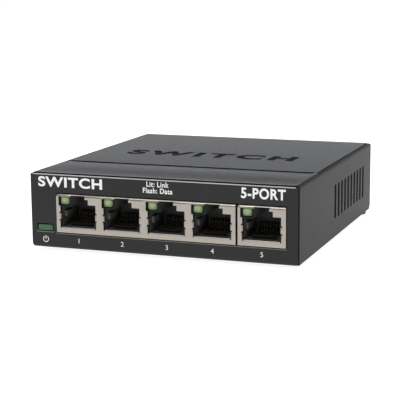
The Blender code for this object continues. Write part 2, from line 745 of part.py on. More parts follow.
# ---------------------------------------------------------------- board
def make_board(surfaces):
    bm = bmesh.new()
    add_box(
        bm,
        (-BOARD_HALF_WIDTH, BOARD_FRONT_Y, BOARD_LOW_Z),
        (BOARD_HALF_WIDTH, BOARD_BACK_Y, BOARD_TOP_Z),
    )
    board = finish("circuit_board", bm, surfaces["board_green"])
    bm = bmesh.new()
    for x, y in BOARD_SCREW_PLACES:
        add_hole(bm, BOARD_HOLE_RADIUS, BOARD_LOW_Z, BOARD_TOP_Z, centre=(x, y, 0))
    combine(board, helper("board_holes", bm), "DIFFERENCE")


def make_board_screws(surfaces):
    """Round-headed screws that go down through the board into the tray's bosses."""
    for number, (x, y) in enumerate(BOARD_SCREW_PLACES, start=1):
        bm = bmesh.new()
        head_low = BOARD_TOP_Z + GAP
        head_top = head_low + BOARD_HEAD_HEIGHT
        profile = [
            (SHANK_RADIUS, BOTTOM_Z + SHEET / 2),
            (SHANK_RADIUS, head_low),
            (BOARD_HEAD_RADIUS, head_low),
            (BOARD_HEAD_RADIUS, head_top - 0.7),
            (BOARD_HEAD_RADIUS - 0.8, head_top),
        ]
        add_turned(bm, profile, centre=(x, y, 0))
        finish(f"board_screw_{number}", bm, surfaces["steel"], smooth=True)


def make_chip(name, x, y, size, surfaces):
    """A moulded package of (width, depth, height) about (x, y), its top edge bevelled off."""
    width, depth, height = size
    middle_z = PART_LOW_Z + height * CHIP_SEAM
    draft = height * CHIP_DRAFT
    bm = bmesh.new()
    rings = []
    for inset, z in ((draft, PART_LOW_Z), (0.0, middle_z), (draft, PART_LOW_Z + height)):
        corners = rectangle(x, y, width - 2 * inset, depth - 2 * inset)
        rings.append([bm.verts.new((u, v, z)) for u, v in corners])
    bm.faces.new(rings[0])
    bm.faces.new(rings[-1])
    for lower, upper in zip(rings, rings[1:]):
        bmesh.ops.bridge_loops(bm, edges=ring_edges(bm, lower) + ring_edges(bm, upper))
    bmesh.ops.recalc_face_normals(bm, faces=bm.faces)
    return finish(name, bm, surfaces["chip_black"])


def ring_edges(bm, ring):
    """The closed ring's edges, made where they don't exist yet."""
    edges = []
    for one, other in zip(ring, ring[1:] + ring[:1]):
        edges.append(bm.edges.get((one, other)) or bm.edges.new((one, other)))
    return edges


def add_chip_legs(chip, x, y, chip_width):
    """Two rows of flat legs, out to both sides of a chip along X."""
    half_leg = LEG_WIDTH / 2
    bm = bmesh.new()
    for side in (-1, 1):
        ends = sorted((x + side * (chip_width / 2 - 0.5), x + side * (chip_width / 2 + LEG_REACH)))
        for i in range(LEG_COUNT):
            leg_y = y + (i - (LEG_COUNT - 1) / 2) * LEG_PITCH
            low = (ends[0], leg_y - half_leg, PART_LOW_Z)
            high = (ends[1], leg_y + half_leg, PART_LOW_Z + LEG_HEIGHT)
            add_box(bm, low, high)
    combine(chip, helper(f"{chip.name}_legs", bm), "UNION")


def make_round_capacitor(name, x, y, radius, height, surfaces):
    """An upright can with a rolled ring near its foot and a bevelled top."""
    bm = bmesh.new()
    top = PART_LOW_Z + height
    profile = [
        (radius, PART_LOW_Z),
        (radius, PART_LOW_Z + CAN_RING_Z - CAN_RING_HALF),
        (radius - CAN_RING_DEPTH, PART_LOW_Z + CAN_RING_Z),
        (radius, PART_LOW_Z + CAN_RING_Z + CAN_RING_HALF),
        (radius, top - CAN_BEVEL),
        (radius - CAN_BEVEL, top),
    ]
    add_turned(bm, profile, centre=(x, y, 0))
    finish(name, bm, surfaces["can_silver"], smooth=True)


def make_crystal(surfaces):
    """The clock crystal's long can, with round ends."""
    x, y = CRYSTAL_PLACE
    width, depth, height = CRYSTAL_SIZE
    bm = bmesh.new()
    add_prism(bm, rectangle(x, y, width, depth, CRYSTAL_CORNER_RADIUS), "Z", PART_LOW_Z, PART_LOW_Z + height)
    finish("clock_crystal", bm, surfaces["can_silver"], smooth=True)


def make_inductor(name, x, y, surfaces):
    width, depth, height = INDUCTOR_SIZE
    bm = bmesh.new()
    add_prism(bm, rectangle(x, y, width, depth, INDUCTOR_CORNER_RADIUS), "Z", PART_LOW_Z, PART_LOW_Z + height)
    finish(name, bm, surfaces["ferrite"])


def make_electronics(surfaces):
    """The parts that stand on the board behind the ports."""
    for number, x in enumerate([*quad_centres(), SINGLE_CENTRE_X], start=1):
        make_chip(f"port_transformer_{number}", x, TRANSFORMER_Y, TRANSFORMER_SIZE, surfaces)
    make_chip("switch_chip", 0.0, 0.0, SWITCH_CHIP_SIZE, surfaces)
    for name, (x, y) in SMALL_CHIP_PLACES.items():
        chip = make_chip(name, x, y, SMALL_CHIP_SIZE, surfaces)
        add_chip_legs(chip, x, y, SMALL_CHIP_SIZE[0])
    for name, (x, y) in INDUCTOR_PLACES.items():
        make_inductor(name, x, y, surfaces)
    for name, (x, y, radius, height) in CAPACITORS.items():
        make_round_capacitor(name, x, y, radius, height, surfaces)
    make_crystal(surfaces)


def main():
    for old in list(bpy.data.objects):
        bpy.data.objects.remove(old, do_unlink=True)
    surfaces = make_materials()
    make_tray(surfaces)
    make_cover(surfaces)
    make_cover_screws(surfaces)
    make_feet(surfaces)
    make_board(surfaces)
    make_board_screws(surfaces)
    make_ports(surfaces)
    make_power_light(surfaces)
    make_inlet(surfaces)
    make_electronics(surfaces)


main()
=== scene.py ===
"""Looks of the five-port desktop network switch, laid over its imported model.

Shapes are drawn in millimetres, in the model's own frame: X runs across the front, +Y to the back and +Z up.
Places come from the boxes of the model's nodes, and the small sizes below are those of the real pieces.
"""

import json
import math

import bmesh
import bpy
from mathutils import Euler, Matrix, Vector
from mathutils.geometry import delaunay_2d_cdt


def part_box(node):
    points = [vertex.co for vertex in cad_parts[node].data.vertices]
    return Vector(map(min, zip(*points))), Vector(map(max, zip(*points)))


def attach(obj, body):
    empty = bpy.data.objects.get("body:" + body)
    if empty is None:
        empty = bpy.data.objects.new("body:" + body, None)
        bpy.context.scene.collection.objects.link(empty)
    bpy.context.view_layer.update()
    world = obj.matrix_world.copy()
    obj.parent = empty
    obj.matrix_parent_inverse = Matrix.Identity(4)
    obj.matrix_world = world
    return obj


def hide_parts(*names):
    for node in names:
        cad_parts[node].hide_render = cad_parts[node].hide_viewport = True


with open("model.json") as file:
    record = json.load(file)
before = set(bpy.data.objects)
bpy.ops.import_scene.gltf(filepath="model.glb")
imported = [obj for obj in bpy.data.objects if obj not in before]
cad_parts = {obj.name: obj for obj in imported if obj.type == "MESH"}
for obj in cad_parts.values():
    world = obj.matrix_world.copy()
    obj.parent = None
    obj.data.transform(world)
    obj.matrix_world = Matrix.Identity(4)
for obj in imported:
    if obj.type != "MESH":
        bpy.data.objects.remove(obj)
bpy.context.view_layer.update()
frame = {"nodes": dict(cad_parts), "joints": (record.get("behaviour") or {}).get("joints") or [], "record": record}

MM = 0.001
ROOT = "case"

# ---------------- sizes, in millimetres
SHEET = 0.8
EDGE = 0.12
PANEL_EDGE = 0.3
COVER_BEND = 1.2
TRAY_BEND = 1.0
BEND_STEPS = 8

GROOVE_FROM_FRONT = 26.8
GROOVE_INSET = 1.15
GROOVE_WIDTH = 0.45
GROOVE_DEPTH = 0.35

# how far from each end the painted highlight along the panel's top edge stops
PAINTED_HIGHLIGHT_INSET = 1.0
STRIP_PROFILE = [
    (0.0, 0.02), (0.04, 0.10), (0.09, 0.15), (0.16, 0.15), (0.24, 0.125), (0.32, 0.09), (0.40, 0.05),
    (0.48, 0.02), (0.56, 0.0), (0.64, 0.005), (0.72, 0.02), (0.80, 0.055), (0.88, 0.11), (0.94, 0.17),
    (1.0, 0.24),
]
STRIP_FULL_X = 43.5

VENT_COUNT = 10
VENT_PITCH = 4.63
VENT_FROM_FRONT = 46.4
VENT_WIDTH = 2.1
VENT_LOW_Z = 7.75
VENT_HIGH_Z = 20.0

PORTS_FIT = 0.1

SHIELD_SHEET = 0.3
SHIELD_BEND = 1.0
SHIELD_STEPS = [(6.45, 16.75), (3.7, 18.5), (2.5, 19.75)]
SHIELD_FLOOR_Z = 8.6
CAVITY_STEPS = [(5.95, 16.3), (3.4, 18.1), (2.1, 19.25)]
CAVITY_FLOOR_Z = 8.95
CAVITY_WALL = 1.6
LIP_RADIUS = 0.32
LENS_HEIGHT = 2.7
# how far the lens's painted glow reaches, along x, y and z
LENS_PAINTED_GLOW = (2.3, 4.0, 2.0)
POCKET_WALL = 0.5
POCKET_FIT = 0.15
GUIDE_WIDTH = 0.9
GUIDE_Z = (12.05, 14.05)
FINGER_Z = (11.3, 13.8)
NOTCH_DEPTH = 0.35
NOTCH_HEIGHT = 0.4

WIRE_COUNT = 8
WIRE_PITCH = 1.016
WIRE_RADIUS = 0.17

KEYHOLE_HEAD_RADIUS = 3.6
KEYHOLE_NECK_RADIUS = 1.8
KEYHOLE_LENGTH = 6.0

SCREW_HOLE_RADIUS = 1.6
COVER_SCREW_HOLE_RADIUS = 2.9
TAB_HOLE_RADIUS = 1.55
TAB_INNER_X = 37.5
TAB_HALF_LENGTH = 5
BOSS_RADIUS = 3.2
# left between neighbouring pieces
GAP = 0.3

THREAD_RADIUS = 1.25
THREAD_PITCH = 0.5
THREAD_DEPTH = 0.22
CROSS_REACH = 1.35
CROSS_HALF_WIDTH = 0.28
CROSS_DEPTH = 0.8

LENS_LENGTH = 7.5
LEAD_OFFSET = 0.9
LEAD_RADIUS = 0.22

INLET_BORE_RADIUS = 3.15
INLET_DEPTH = 10.0
LEAF_HALF_SHEET = 0.1

KEPT_NODES = [
    ("port_transformer", "chip"), ("switch_chip", "chip"), ("settings_chip", "chip"),
    ("regulator_chip", "chip"), ("power_inductor", "ferrite"), ("round_capacitor", "can"),
    ("clock_crystal", "can"),
]

PRINT_PROUD = 0.015
PRINT_DEPTH = 0.03
DIGIT_HEIGHT = 1.6
WORDS_BELOW_TOP = 2.6
# text, width, height, boldness, x, rise above the words' middle line
FRONT_WORDS = [
    ("SWITCH", 23.6, 3.5, 0.031, -32.2, 0.0),
    ("5-PORT", 14.8, 3.5, 0.031, 35.4, 0.0),
    ("Lit: Link", 7.8, 1.75, 0.022, -0.6, 1.05),
    ("Flash: Data", 10.4, 1.75, 0.022, -0.6, -1.05),
]

# degrees: edges sharper than this stay sharp
SMOOTH_ANGLE = 35

# ---------------- camera, in millimetres and degrees
CAMERA_PLACE = (152.06, -419.72, 95.55)
CAMERA_YAW = 20.48
CAMERA_PITCH = 10.73
CAMERA_ROLL = -0.51
CAMERA_LENS = 112.4

ROOM_LIGHT = 0.2
SWEEP_LIGHT = 1.05
FLOOR_REACH = 3000


# ---------------- places
def box_mm(node):
    """A node's lowest and highest corners, in millimetres."""
    low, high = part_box(node)
    return Vector(low) / MM, Vector(high) / MM


def centre_mm(node):
    low, high = box_mm(node)
    return (low + high) / 2


def joint_place(body):
    """Where the joint that a body turns on lies."""
    joint = next(j for j in frame["joints"] if j["child"] == body)
    return Vector(joint["pos_m"]) / MM


def nodes_named(start):
    return sorted(name for name in frame["nodes"] if name.startswith(start))


TRAY_LOW, TRAY_HIGH = box_mm("bottom_tray")
COVER_LOW, COVER_HIGH = box_mm("top_cover")
BOARD_LOW, BOARD_HIGH = box_mm("circuit_board")
FRONT_Y, BACK_Y = TRAY_LOW.y, TRAY_HIGH.y
BOTTOM_Z, PANEL_TOP_Z = TRAY_LOW.z, TRAY_HIGH.z
FLOOR_Z = BOTTOM_Z + SHEET
HALF_WIDTH = TRAY_HIGH.x
TOP_Z = COVER_HIGH.z
STRIP_LENGTH = FRONT_Y + GROOVE_FROM_FRONT - COVER_LOW.y


# ---------------- outlines
def arc(centre, radius, start, end, steps):
    """Points along an arc, angles in degrees, both ends included."""
    points = []
    for i in range(steps + 1):
        angle = math.radians(start + (end - start) * i / steps)
        points.append((centre[0] + radius * math.cos(angle), centre[1] + radius * math.sin(angle)))
    return points


def circle(centre, radius, steps=32):
    return arc(centre, radius, 0, 360 * (1 - 1 / steps), steps - 1)


def unit(du, dv):
    length = math.hypot(du, dv)
    return du / length, dv / length


def rounded(corners, steps=5):
    """A closed outline through (u, v, radius) corners, each rounded to its radius."""
    outline = []
    for i, (u, v, radius) in enumerate(corners):
        if radius == 0:
            outline.append((u, v))
            continue
        before, after = corners[i - 1], corners[(i + 1) % len(corners)]
        into = unit(before[0] - u, before[1] - v)
        out = unit(after[0] - u, after[1] - v)
        half = math.acos(into[0] * out[0] + into[1] * out[1]) / 2
        middle = unit(into[0] + out[0], into[1] + out[1])
        reach = radius / math.sin(half)
        centre = (u + reach * middle[0], v + reach * middle[1])
        facing = math.degrees(math.atan2(-middle[1], -middle[0]))
        turned = 90 - math.degrees(half)
        side = 1 if into[0] * out[1] - into[1] * out[0] < 0 else -1
        outline += arc(centre, radius, facing - side * turned, facing + side * turned, steps)
    return outline


def rectangle(low, high, radius=0.0, steps=4):
    """A rectangle between two opposite corners, with its corners rounded to one radius."""
    corners = [(low[0], low[1]), (high[0], low[1]), (high[0], high[1]), (low[0], high[1])]
    return rounded([(u, v, radius) for u, v in corners], steps)


def slot_outline(u, low, high, width, steps=8):
    """An upright slot with round ends."""
    radius = width / 2
    return arc((u, low + radius), radius, 180, 360, steps) + arc((u, high - radius), radius, 0, 180, steps)


def half_opening(centre_x, floor_z, steps):
    """The right half of a port's outline: full width at the plug, then narrower steps up for its latch."""
    points = []
    low = floor_z
    for half_width, top in steps:
        points += [(centre_x + half_width, low), (centre_x + half_width, top)]
        low = top
    return points


# ---------------- mesh building
def signed_area(outline):
    pairs = zip(outline, outline[1:] + outline[:1])
    return sum(a[0] * b[1] - b[0] * a[1] for a, b in pairs) / 2


def add_object(name, data):
    made = bpy.data.objects.new(name, data)
    bpy.context.scene.collection.objects.link(made)
    return made


def evaluated_mesh(made):
    """A new mesh with an object's modifiers or curve applied."""
    return bpy.data.meshes.new_from_object(made.evaluated_get(bpy.context.evaluated_depsgraph_get()))


def offset_left(outline, distance):
    """The outline moved to its left by a distance, with mitred corners."""
    moved = []
    count = len(outline)
    for i, (u, v) in enumerate(outline):
        before, after = outline[i - 1], outline[(i + 1) % count]
        into, out = unit(u - before[0], v - before[1]), unit(after[0] - u, after[1] - v)
        left_in, left_out = (-into[1], into[0]), (-out[1], out[0])
        scale = distance / (1 + left_in[0] * left_out[0] + left_in[1] * left_out[1])
        moved.append((u + scale * (left_in[0] + left_out[0]), v + scale * (left_in[1] + left_out[1])))
    return moved


def add_plate(bm, outer, holes, thickness, edge, segments=2, back_edge=None):
    """A flat plate in the XY plane with its face at z = 0, its back below and the edges of both rounded."""
    back_edge = edge if back_edge is None else back_edge
    outlines = [outer if signed_area(outer) > 0 else outer[::-1]]
    outlines += [hole if signed_area(hole) < 0 else hole[::-1] for hole in holes]
    front = [rounding(edge, i, segments) for i in range(segments + 1)]
    back = [rounding(back_edge, i, segments) for i in range(segments, -1, -1)]
    profile = [(inset, -drop) for inset, drop in front] + [(inset, drop - thickness) for inset, drop in back]
    stacks = []
    for outline in outlines:
        stack = []
        for inset, z in profile:
            stack.append([bm.verts.new((u, v, z)) for u, v in offset_left(outline, inset)])
        stacks.append(stack)
        for upper, lower in zip(stack, stack[1:]):
            for i in range(len(upper)):
                after = (i + 1) % len(upper)
                bm.faces.new((upper[i], lower[i], lower[after], upper[after]))
    for end, flip in ((0, False), (-1, True)):
        fill(bm, [stack[end] for stack in stacks], flip)


def fill(bm, rings, flip):
    """Fills between an outer ring and the rings of its holes, its face up unless flipped."""
    verts = [vert for ring in rings for vert in ring]
    edges = []
    for ring in rings:
        start = len(edges)
        edges += [(start + i, start + (i + 1) % len(ring)) for i in range(len(ring))]
    points = [vert.co.xy for vert in verts]
    _, _, triangles, sources, _, _ = delaunay_2d_cdt(points, edges, [], 1, 1e-7)
    for triangle in triangles:
        corners = [verts[sources[i][0]] for i in triangle]
        middle = sum((corner.co for corner in corners), Vector()) / 3
        if not any(is_inside(ring, middle) for ring in rings[1:]):
            bm.faces.new(corners[::-1] if flip else corners)


def is_inside(ring, point):
    """Whether a point lies inside a ring of vertices, by counting the edges to its right."""
    crossings = 0
    for one, other in zip(ring, ring[1:] + ring[:1]):
        (u0, v0), (u1, v1) = one.co.xy, other.co.xy
        if (v0 > point.y) != (v1 > point.y) and point.x < u0 + (point.y - v0) * (u1 - u0) / (v1 - v0):
            crossings += 1
    return crossings % 2 == 1


def rounding(radius, i, segments):
    """How far a rounded edge is inset and how far it has dropped, after i of its segments."""
    angle = math.pi / 2 * i / segments
    return radius * (1 - math.sin(angle)), radius * (1 - math.cos(angle))


def add_turned(bm, profile, steps=32):
    """Turns (radius, z) points round the Z axis. Ends that don't reach a zero radius close on discs."""
    rings = []
    for radius, z in profile:
        if radius == 0:
            rings.append([bm.verts.new((0, 0, z))])
            continue
        ring = []
        for i in range(steps):
            angle = math.tau * i / steps
            ring.append(bm.verts.new((radius * math.cos(angle), radius * math.sin(angle), z)))
        rings.append(ring)
    for one, other in zip(rings, rings[1:]):
        for i in range(steps):
            after = (i + 1) % steps
            corners = [one[i % len(one)], one[after % len(one)]]
            corners += [other[after % len(other)], other[i % len(other)]]
            bm.faces.new(list(dict.fromkeys(corners)))
    for ring in (rings[0], rings[-1]):
        if len(ring) > 1:
            bm.faces.new(ring)
    bmesh.ops.recalc_face_normals(bm, faces=bm.faces)


def add_tube(bm, path, radius, steps=10):
    """A round wire along points of one YZ plane, closed at both ends."""
    rings = []
    for i, point in enumerate(path):
        before, after = path[max(i - 1, 0)], path[min(i + 1, len(path) - 1)]
        along = (Vector(after) - Vector(before)).normalized()
        across = Vector((1, 0, 0))
        up = across.cross(along)
        ring = []
        for j in range(steps):
            angle = math.tau * j / steps
            reach = radius * (math.cos(angle) * across + math.sin(angle) * up)
            ring.append(bm.verts.new(Vector(point) + reach))
        rings.append(ring)
    stitch(bm, rings)


def stitch(bm, rings):
    """Joins rings of vertices, one after another, into a closed body."""
    faces = [bm.faces.new(rings[0]), bm.faces.new(rings[-1])]
    for one, other in zip(rings, rings[1:]):
        for i in range(len(one)):
            after = (i + 1) % len(one)
            faces.append(bm.faces.new((one[i], one[after], other[after], other[i])))
    bmesh.ops.recalc_face_normals(bm, faces=faces)


def smooth_path(points, steps=6):
    """A Catmull-Rom curve through the points."""
    points = [Vector(p) for p in points]
    ends = [2 * points[0] - points[1], *points, 2 * points[-1] - points[-2]]
    path = []
    for a, b, c, d in zip(ends, ends[1:], ends[2:], ends[3:]):
        for i in range(steps):
            t = i / steps
            path.append(0.5 * (2 * b + (c - a) * t + (2 * a - 5 * b + 4 * c - d) * t**2
                               + (3 * b - a - 3 * c + d) * t**3))
    path.append(points[-1])
    return path


def move(bm, place):
    bmesh.ops.translate(bm, verts=bm.verts, vec=place)


def turn(bm, facing, place=(0, 0, 0)):
    """Turns what was drawn with its face up so that it faces the way named, and moves it to its place."""
    matrix = {
        "up": Matrix.Identity(3),
        "down": Matrix(((1, 0, 0), (0, -1, 0), (0, 0, -1))),
        "front": Matrix(((1, 0, 0), (0, 0, -1), (0, 1, 0))),
        "back": Matrix(((-1, 0, 0), (0, 0, 1), (0, 1, 0))),
        "right": Matrix(((0, 0, 1), (1, 0, 0), (0, 1, 0))),
        "left": Matrix(((0, 0, -1), (-1, 0, 0), (0, 1, 0))),
    }[facing]
    bmesh.ops.transform(bm, matrix=Matrix.Translation(place) @ matrix.to_4x4(), verts=bm.verts)


def fold(bm, flat_half, radius, place):
    """Folds a flat sheet down at plus and minus flat_half, round an outer radius.

    place takes a point across the fold, along it and up, and gives the point in the model's frame.
    """
    bend_length = radius * math.pi / 2
    slices = [flat_half + bend_length * i / BEND_STEPS for i in range(BEND_STEPS + 1)]
    for side in (-1, 1):
        slice_sheet(bm, (1, 0, 0), [side * u for u in slices])
    for vert in bm.verts:
        s, along, n = vert.co
        side = math.copysign(1, s)
        past = abs(s) - flat_half
        if past <= 0:
            across, up = abs(s), n
        elif past <= bend_length:
            angle = past / radius
            across = flat_half + (radius + n) * math.sin(angle)
            up = (radius + n) * math.cos(angle) - radius
        else:
            across, up = flat_half + radius + n, bend_length - past - radius
        vert.co = place(side * across, along, up)
    if bm.calc_volume(signed=True) < 0:
        bmesh.ops.reverse_faces(bm, faces=bm.faces)
    bm.normal_update()


# ---------------- pieces
def piece(name, bm, finish, replaced=None, body=ROOT):
    """Makes a shown piece from a mesh drawn in millimetres, in place of a node."""
    mesh = bpy.data.meshes.new(name)
    bm.to_mesh(mesh)
    bm.free()
    mesh.transform(Matrix.Scale(MM, 4))
    for one in finish if isinstance(finish, list) else [finish]:
        mesh.materials.append(one)
    mesh.shade_smooth()
    mesh.set_sharp_from_angle(angle=math.radians(SMOOTH_ANGLE))
    made = add_object(name, mesh)
    weighted = made.modifiers.new("weighted_normals", "WEIGHTED_NORMAL")
    weighted.keep_sharp = True
    weighted.weight = 80
    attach(made, body)
    if replaced:
        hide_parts(replaced)
    return made


def set_origin(made, place):
    """Puts a piece's own origin at a place, and leaves its shape where it was."""
    made.data.transform(Matrix.Translation(Vector(place) * -MM))
    made.location = Vector(place) * MM


def cut(bm, cutters, shade=0):
    """The mesh less its cutters. The cut's own faces take the material slot given."""
    objects = []
    for i, source in enumerate([bm, *cutters]):
        mesh = bpy.data.meshes.new(f"cut_{i}")
        if i:
            for face in source.faces:
                face.material_index = shade
        source.to_mesh(mesh)
        source.free()
        for _ in range(shade + 1):
            mesh.materials.append(None)
        objects.append(add_object(f"cut_{i}", mesh))
    target = objects[0]
    for cutter in objects[1:]:
        modifier = target.modifiers.new("cut", "BOOLEAN")
        modifier.operation = "DIFFERENCE"
        modifier.solver = "EXACT"
        modifier.object = cutter
    result = evaluated_mesh(target)
    made = bmesh.new()
    made.from_mesh(result)
    for holder in objects:
        mesh = holder.data
        bpy.data.objects.remove(holder)
        bpy.data.meshes.remove(mesh)
    bpy.data.meshes.remove(result)
    return made


def block(low, high, edge=EDGE, corner=0.3):
    """A block with rounded upright corners and softened top and bottom edges."""
    bm = bmesh.new()
    add_plate(bm, rectangle((low[0], low[1]), (high[0], high[1]), corner), [], high[2] - low[2], edge)
    move(bm, (0, 0, high[2]))
    return bm


def join(bm, other):
    """Adds another mesh to this one."""
    mesh = bpy.data.meshes.new("joined")
    other.to_mesh(mesh)
    other.free()
    bm.from_mesh(mesh)
    bpy.data.meshes.remove(mesh)


# ---------------- materials
def surface(name, colour, roughness, metallic=0.0, tint=0.12, tint_size=9.0, spread=0.06,
            grain_size=0.35, grain_depth=0.006, stretch=(1, 1, 1), **sockets):
    """A Principled material whose colour, roughness and relief all vary. Sizes are in millimetres."""
    made = bpy.data.materials.new(name)
    made.use_nodes = True
    nodes, links = made.node_tree.nodes, made.node_tree.links
    shader = nodes["Principled BSDF"]
    shader.inputs["Metallic"].default_value = metallic
    for socket, value in sockets.items():
        shader.inputs[socket.replace("_", " ")].default_value = value

    coordinates = nodes.new("ShaderNodeTexCoord")
    mapping = nodes.new("ShaderNodeMapping")
    mapping.inputs["Scale"].default_value = stretch
    links.new(coordinates.outputs["Object"], mapping.inputs["Vector"])

    patches = noise(nodes, links, mapping, tint_size, detail=4.0)
    mix = nodes.new("ShaderNodeMix")
    mix.data_type = "RGBA"
    mix.inputs["A"].default_value = (*[c * (1 - tint) for c in colour], 1.0)
    mix.inputs["B"].default_value = (*[min(c * (1 + tint), 1.0) for c in colour], 1.0)
    links.new(patches.outputs["Fac"], mix.inputs["Factor"])
    links.new(mix.outputs["Result"], shader.inputs["Base Color"])

    grain = noise(nodes, links, mapping, grain_size, detail=2.0)
    ranged = nodes.new("ShaderNodeMapRange")
    ranged.inputs["To Min"].default_value = max(roughness - spread, 0.02)
    ranged.inputs["To Max"].default_value = min(roughness + spread, 1.0)
    links.new(grain.outputs["Fac"], ranged.inputs["Value"])
    links.new(ranged.outputs["Result"], shader.inputs["Roughness"])

    bump = nodes.new("ShaderNodeBump")
    bump.inputs["Distance"].default_value = grain_depth * MM
    links.new(grain.outputs["Fac"], bump.inputs["Height"])
    links.new(bump.outputs["Normal"], shader.inputs["Normal"])
    return made


def noise(nodes, links, mapping, size, detail):
    texture = nodes.new("ShaderNodeTexNoise")
    texture.inputs["Scale"].default_value = 1 / (size * MM)
    texture.inputs["Detail"].default_value = detail
    links.new(mapping.outputs["Vector"], texture.inputs["Vector"])
    return texture


def lens_finish():
    """A green lens with a painted glow: palest at its own centre and darkening to its rim."""
    made = surface("green_lens", (0.13, 0.25, 0.07), 0.22, tint=0.2, tint_size=1.5, grain_size=0.4,
                   grain_depth=0.01)
    nodes, links = made.node_tree.nodes, made.node_tree.links
    coordinates = nodes.new("ShaderNodeTexCoord")
    mapping = nodes.new("ShaderNodeMapping")
    mapping.inputs["Scale"].default_value = [1 / (reach * MM) for reach in LENS_PAINTED_GLOW]
    links.new(coordinates.outputs["Object"], mapping.inputs["Vector"])
    painted_glow = nodes.new("ShaderNodeTexGradient")
    painted_glow.gradient_type = "SPHERICAL"
    links.new(mapping.outputs["Vector"], painted_glow.inputs["Vector"])
    ramp = nodes.new("ShaderNodeValToRGB")
    ramp.color_ramp.elements[0].color = (0.012, 0.035, 0.008, 1)
    ramp.color_ramp.elements[1].color = (0.29, 0.37, 0.17, 1)
    ramp.color_ramp.elements[1].position = 0.75
    middle = ramp.color_ramp.elements.new(0.3)
    middle.color = (0.10, 0.17, 0.055, 1)
    links.new(painted_glow.outputs["Fac"], ramp.inputs["Fac"])
    links.new(ramp.outputs["Color"], nodes["Principled BSDF"].inputs["Base Color"])
    return made


def make_finishes():
    return {
        "cover": surface("cover_powder_coat", (0.029, 0.029, 0.031), 0.30, grain_size=0.7, grain_depth=0.045,
                         Specular_IOR_Level=0.02),
        "panel": surface("panel_powder_coat", (0.020, 0.020, 0.021), 0.50, grain_size=0.3,
                         Specular_IOR_Level=0.25),
        # painted shade: a darker black put on faces where shade falls, in grooves, gaps, cut ends and sockets
        "recess": surface("painted_shade_black", (0.010, 0.010, 0.010), 0.7, grain_size=0.3,
                          Specular_IOR_Level=0.03),
        # painted highlight: a light grey on the panel's rounded top edge, for the light it catches from above
        "edge": surface("painted_highlight_edge", (0.45, 0.45, 0.45), 0.4, grain_size=0.2),
        # painted highlight, dimmer: on the upward-facing rounded edges low on the panel, under its openings
        "painted_lower_highlight": surface("painted_lower_highlight_edge", (0.17, 0.16, 0.145), 0.4, grain_size=0.2),
        "ink": surface("white_ink", (0.85, 0.85, 0.85), 0.55, tint=0.03, grain_size=0.15, grain_depth=0.002),
        "nickel": surface("nickel_plate", (0.355, 0.325, 0.290), 0.30, metallic=1.0, tint=0.08, tint_size=2.0,
                          grain_size=0.25, grain_depth=0.004),
        "steel": surface("zinc_plate", (0.52, 0.53, 0.55), 0.3, metallic=1.0, grain_size=0.2),
        "black_steel": surface("black_oxide", (0.03, 0.03, 0.03), 0.4, metallic=0.5, grain_size=0.2),
        "gold": surface("gold_flash", (0.83, 0.60, 0.26), 0.22, metallic=1.0, grain_size=0.15,
                        grain_depth=0.002),
        "plastic": surface("moulded_black", (0.009, 0.009, 0.010), 0.5, grain_size=0.25, grain_depth=0.004,
                           Specular_IOR_Level=0.2),
        # painted light: a lighter copy of the moulded black, for the inside of the socket cavities
        "cavity": surface("moulded_black_painted_light", (0.075, 0.075, 0.072), 0.6, grain_size=0.25,
                          Specular_IOR_Level=0.3),
        "rubber": surface("foot_rubber", (0.010, 0.010, 0.010), 0.8, grain_size=0.3, grain_depth=0.02),
        "lens": lens_finish(),
        "window": surface("green_window", (0.026, 0.095, 0.042), 0.25, tint=0.2, tint_size=2.5,
                          grain_size=0.5),
        "lamp": surface("lamp_body", (0.75, 0.75, 0.70), 0.4),
        "board": surface("solder_mask", (0.015, 0.085, 0.035), 0.35, tint=0.35, tint_size=2.5, grain_size=0.6,
                         grain_depth=0.015),
        "chip": surface("moulded_epoxy", (0.018, 0.018, 0.019), 0.6, grain_size=0.15),
        "can": surface("drawn_can", (0.62, 0.62, 0.63), 0.28, metallic=1.0, grain_size=0.3,
                       stretch=(1, 1, 0.1)),
        "ferrite": surface("pressed_ferrite", (0.06, 0.06, 0.065), 0.7, grain_size=0.2, grain_depth=0.01),
    }


# ---------------- case
def make_cover(finishes):
    """The cover as a flat sheet with its vents, folded down at both sides, then grooved and stamped."""
    flat_half = HALF_WIDTH - COVER_BEND
    bend_length = COVER_BEND * math.pi / 2
    end = flat_half + bend_length + (TOP_Z - COVER_BEND - COVER_LOW.z)
    vents = []
    for side in (-1, 1):
        fold_at = flat_half + bend_length + TOP_Z - COVER_BEND
        low, high = sorted((side * (fold_at - VENT_HIGH_Z), side * (fold_at - VENT_LOW_Z)))
        for i in range(VENT_COUNT):
            y = FRONT_Y + VENT_FROM_FRONT + i * VENT_PITCH
            vents.append([(u, v) for v, u in slot_outline(y, low, high, VENT_WIDTH)])
    bm = bmesh.new()
    add_plate(bm, rectangle((-end, COVER_LOW.y), (end, COVER_HIGH.y + 0.2), 0.2), vents, SHEET, EDGE)
    slices = [COVER_LOW.y + STRIP_LENGTH * share for share, _ in STRIP_PROFILE[1:]]
    slice_sheet(bm, (0, 1, 0), [*slices, slices[-1] + GROOVE_WIDTH / 4])
    slice_sheet(bm, (1, 0, 0), (-STRIP_FULL_X, STRIP_FULL_X))
    fold(bm, flat_half, COVER_BEND, lambda x, y, up: (x, y, TOP_Z + up - dip(x, y)))
    # The faces cut by the groove and the stamp take slot 1, the darker black of painted shade.
    bm = cut(bm, [groove_cutter(), stamp_cutter()], shade=1)
    # So does the cover's front end: painted shade in the gap above the panel.
    for face in bm.faces:
        if face.calc_center_median().y < COVER_LOW.y + EDGE and face.normal.y < -0.5:
            face.material_index = 1
    piece("cover_sheet", bm, [finishes["cover"], finishes["recess"]], "top_cover")
    make_cover_tabs(finishes)


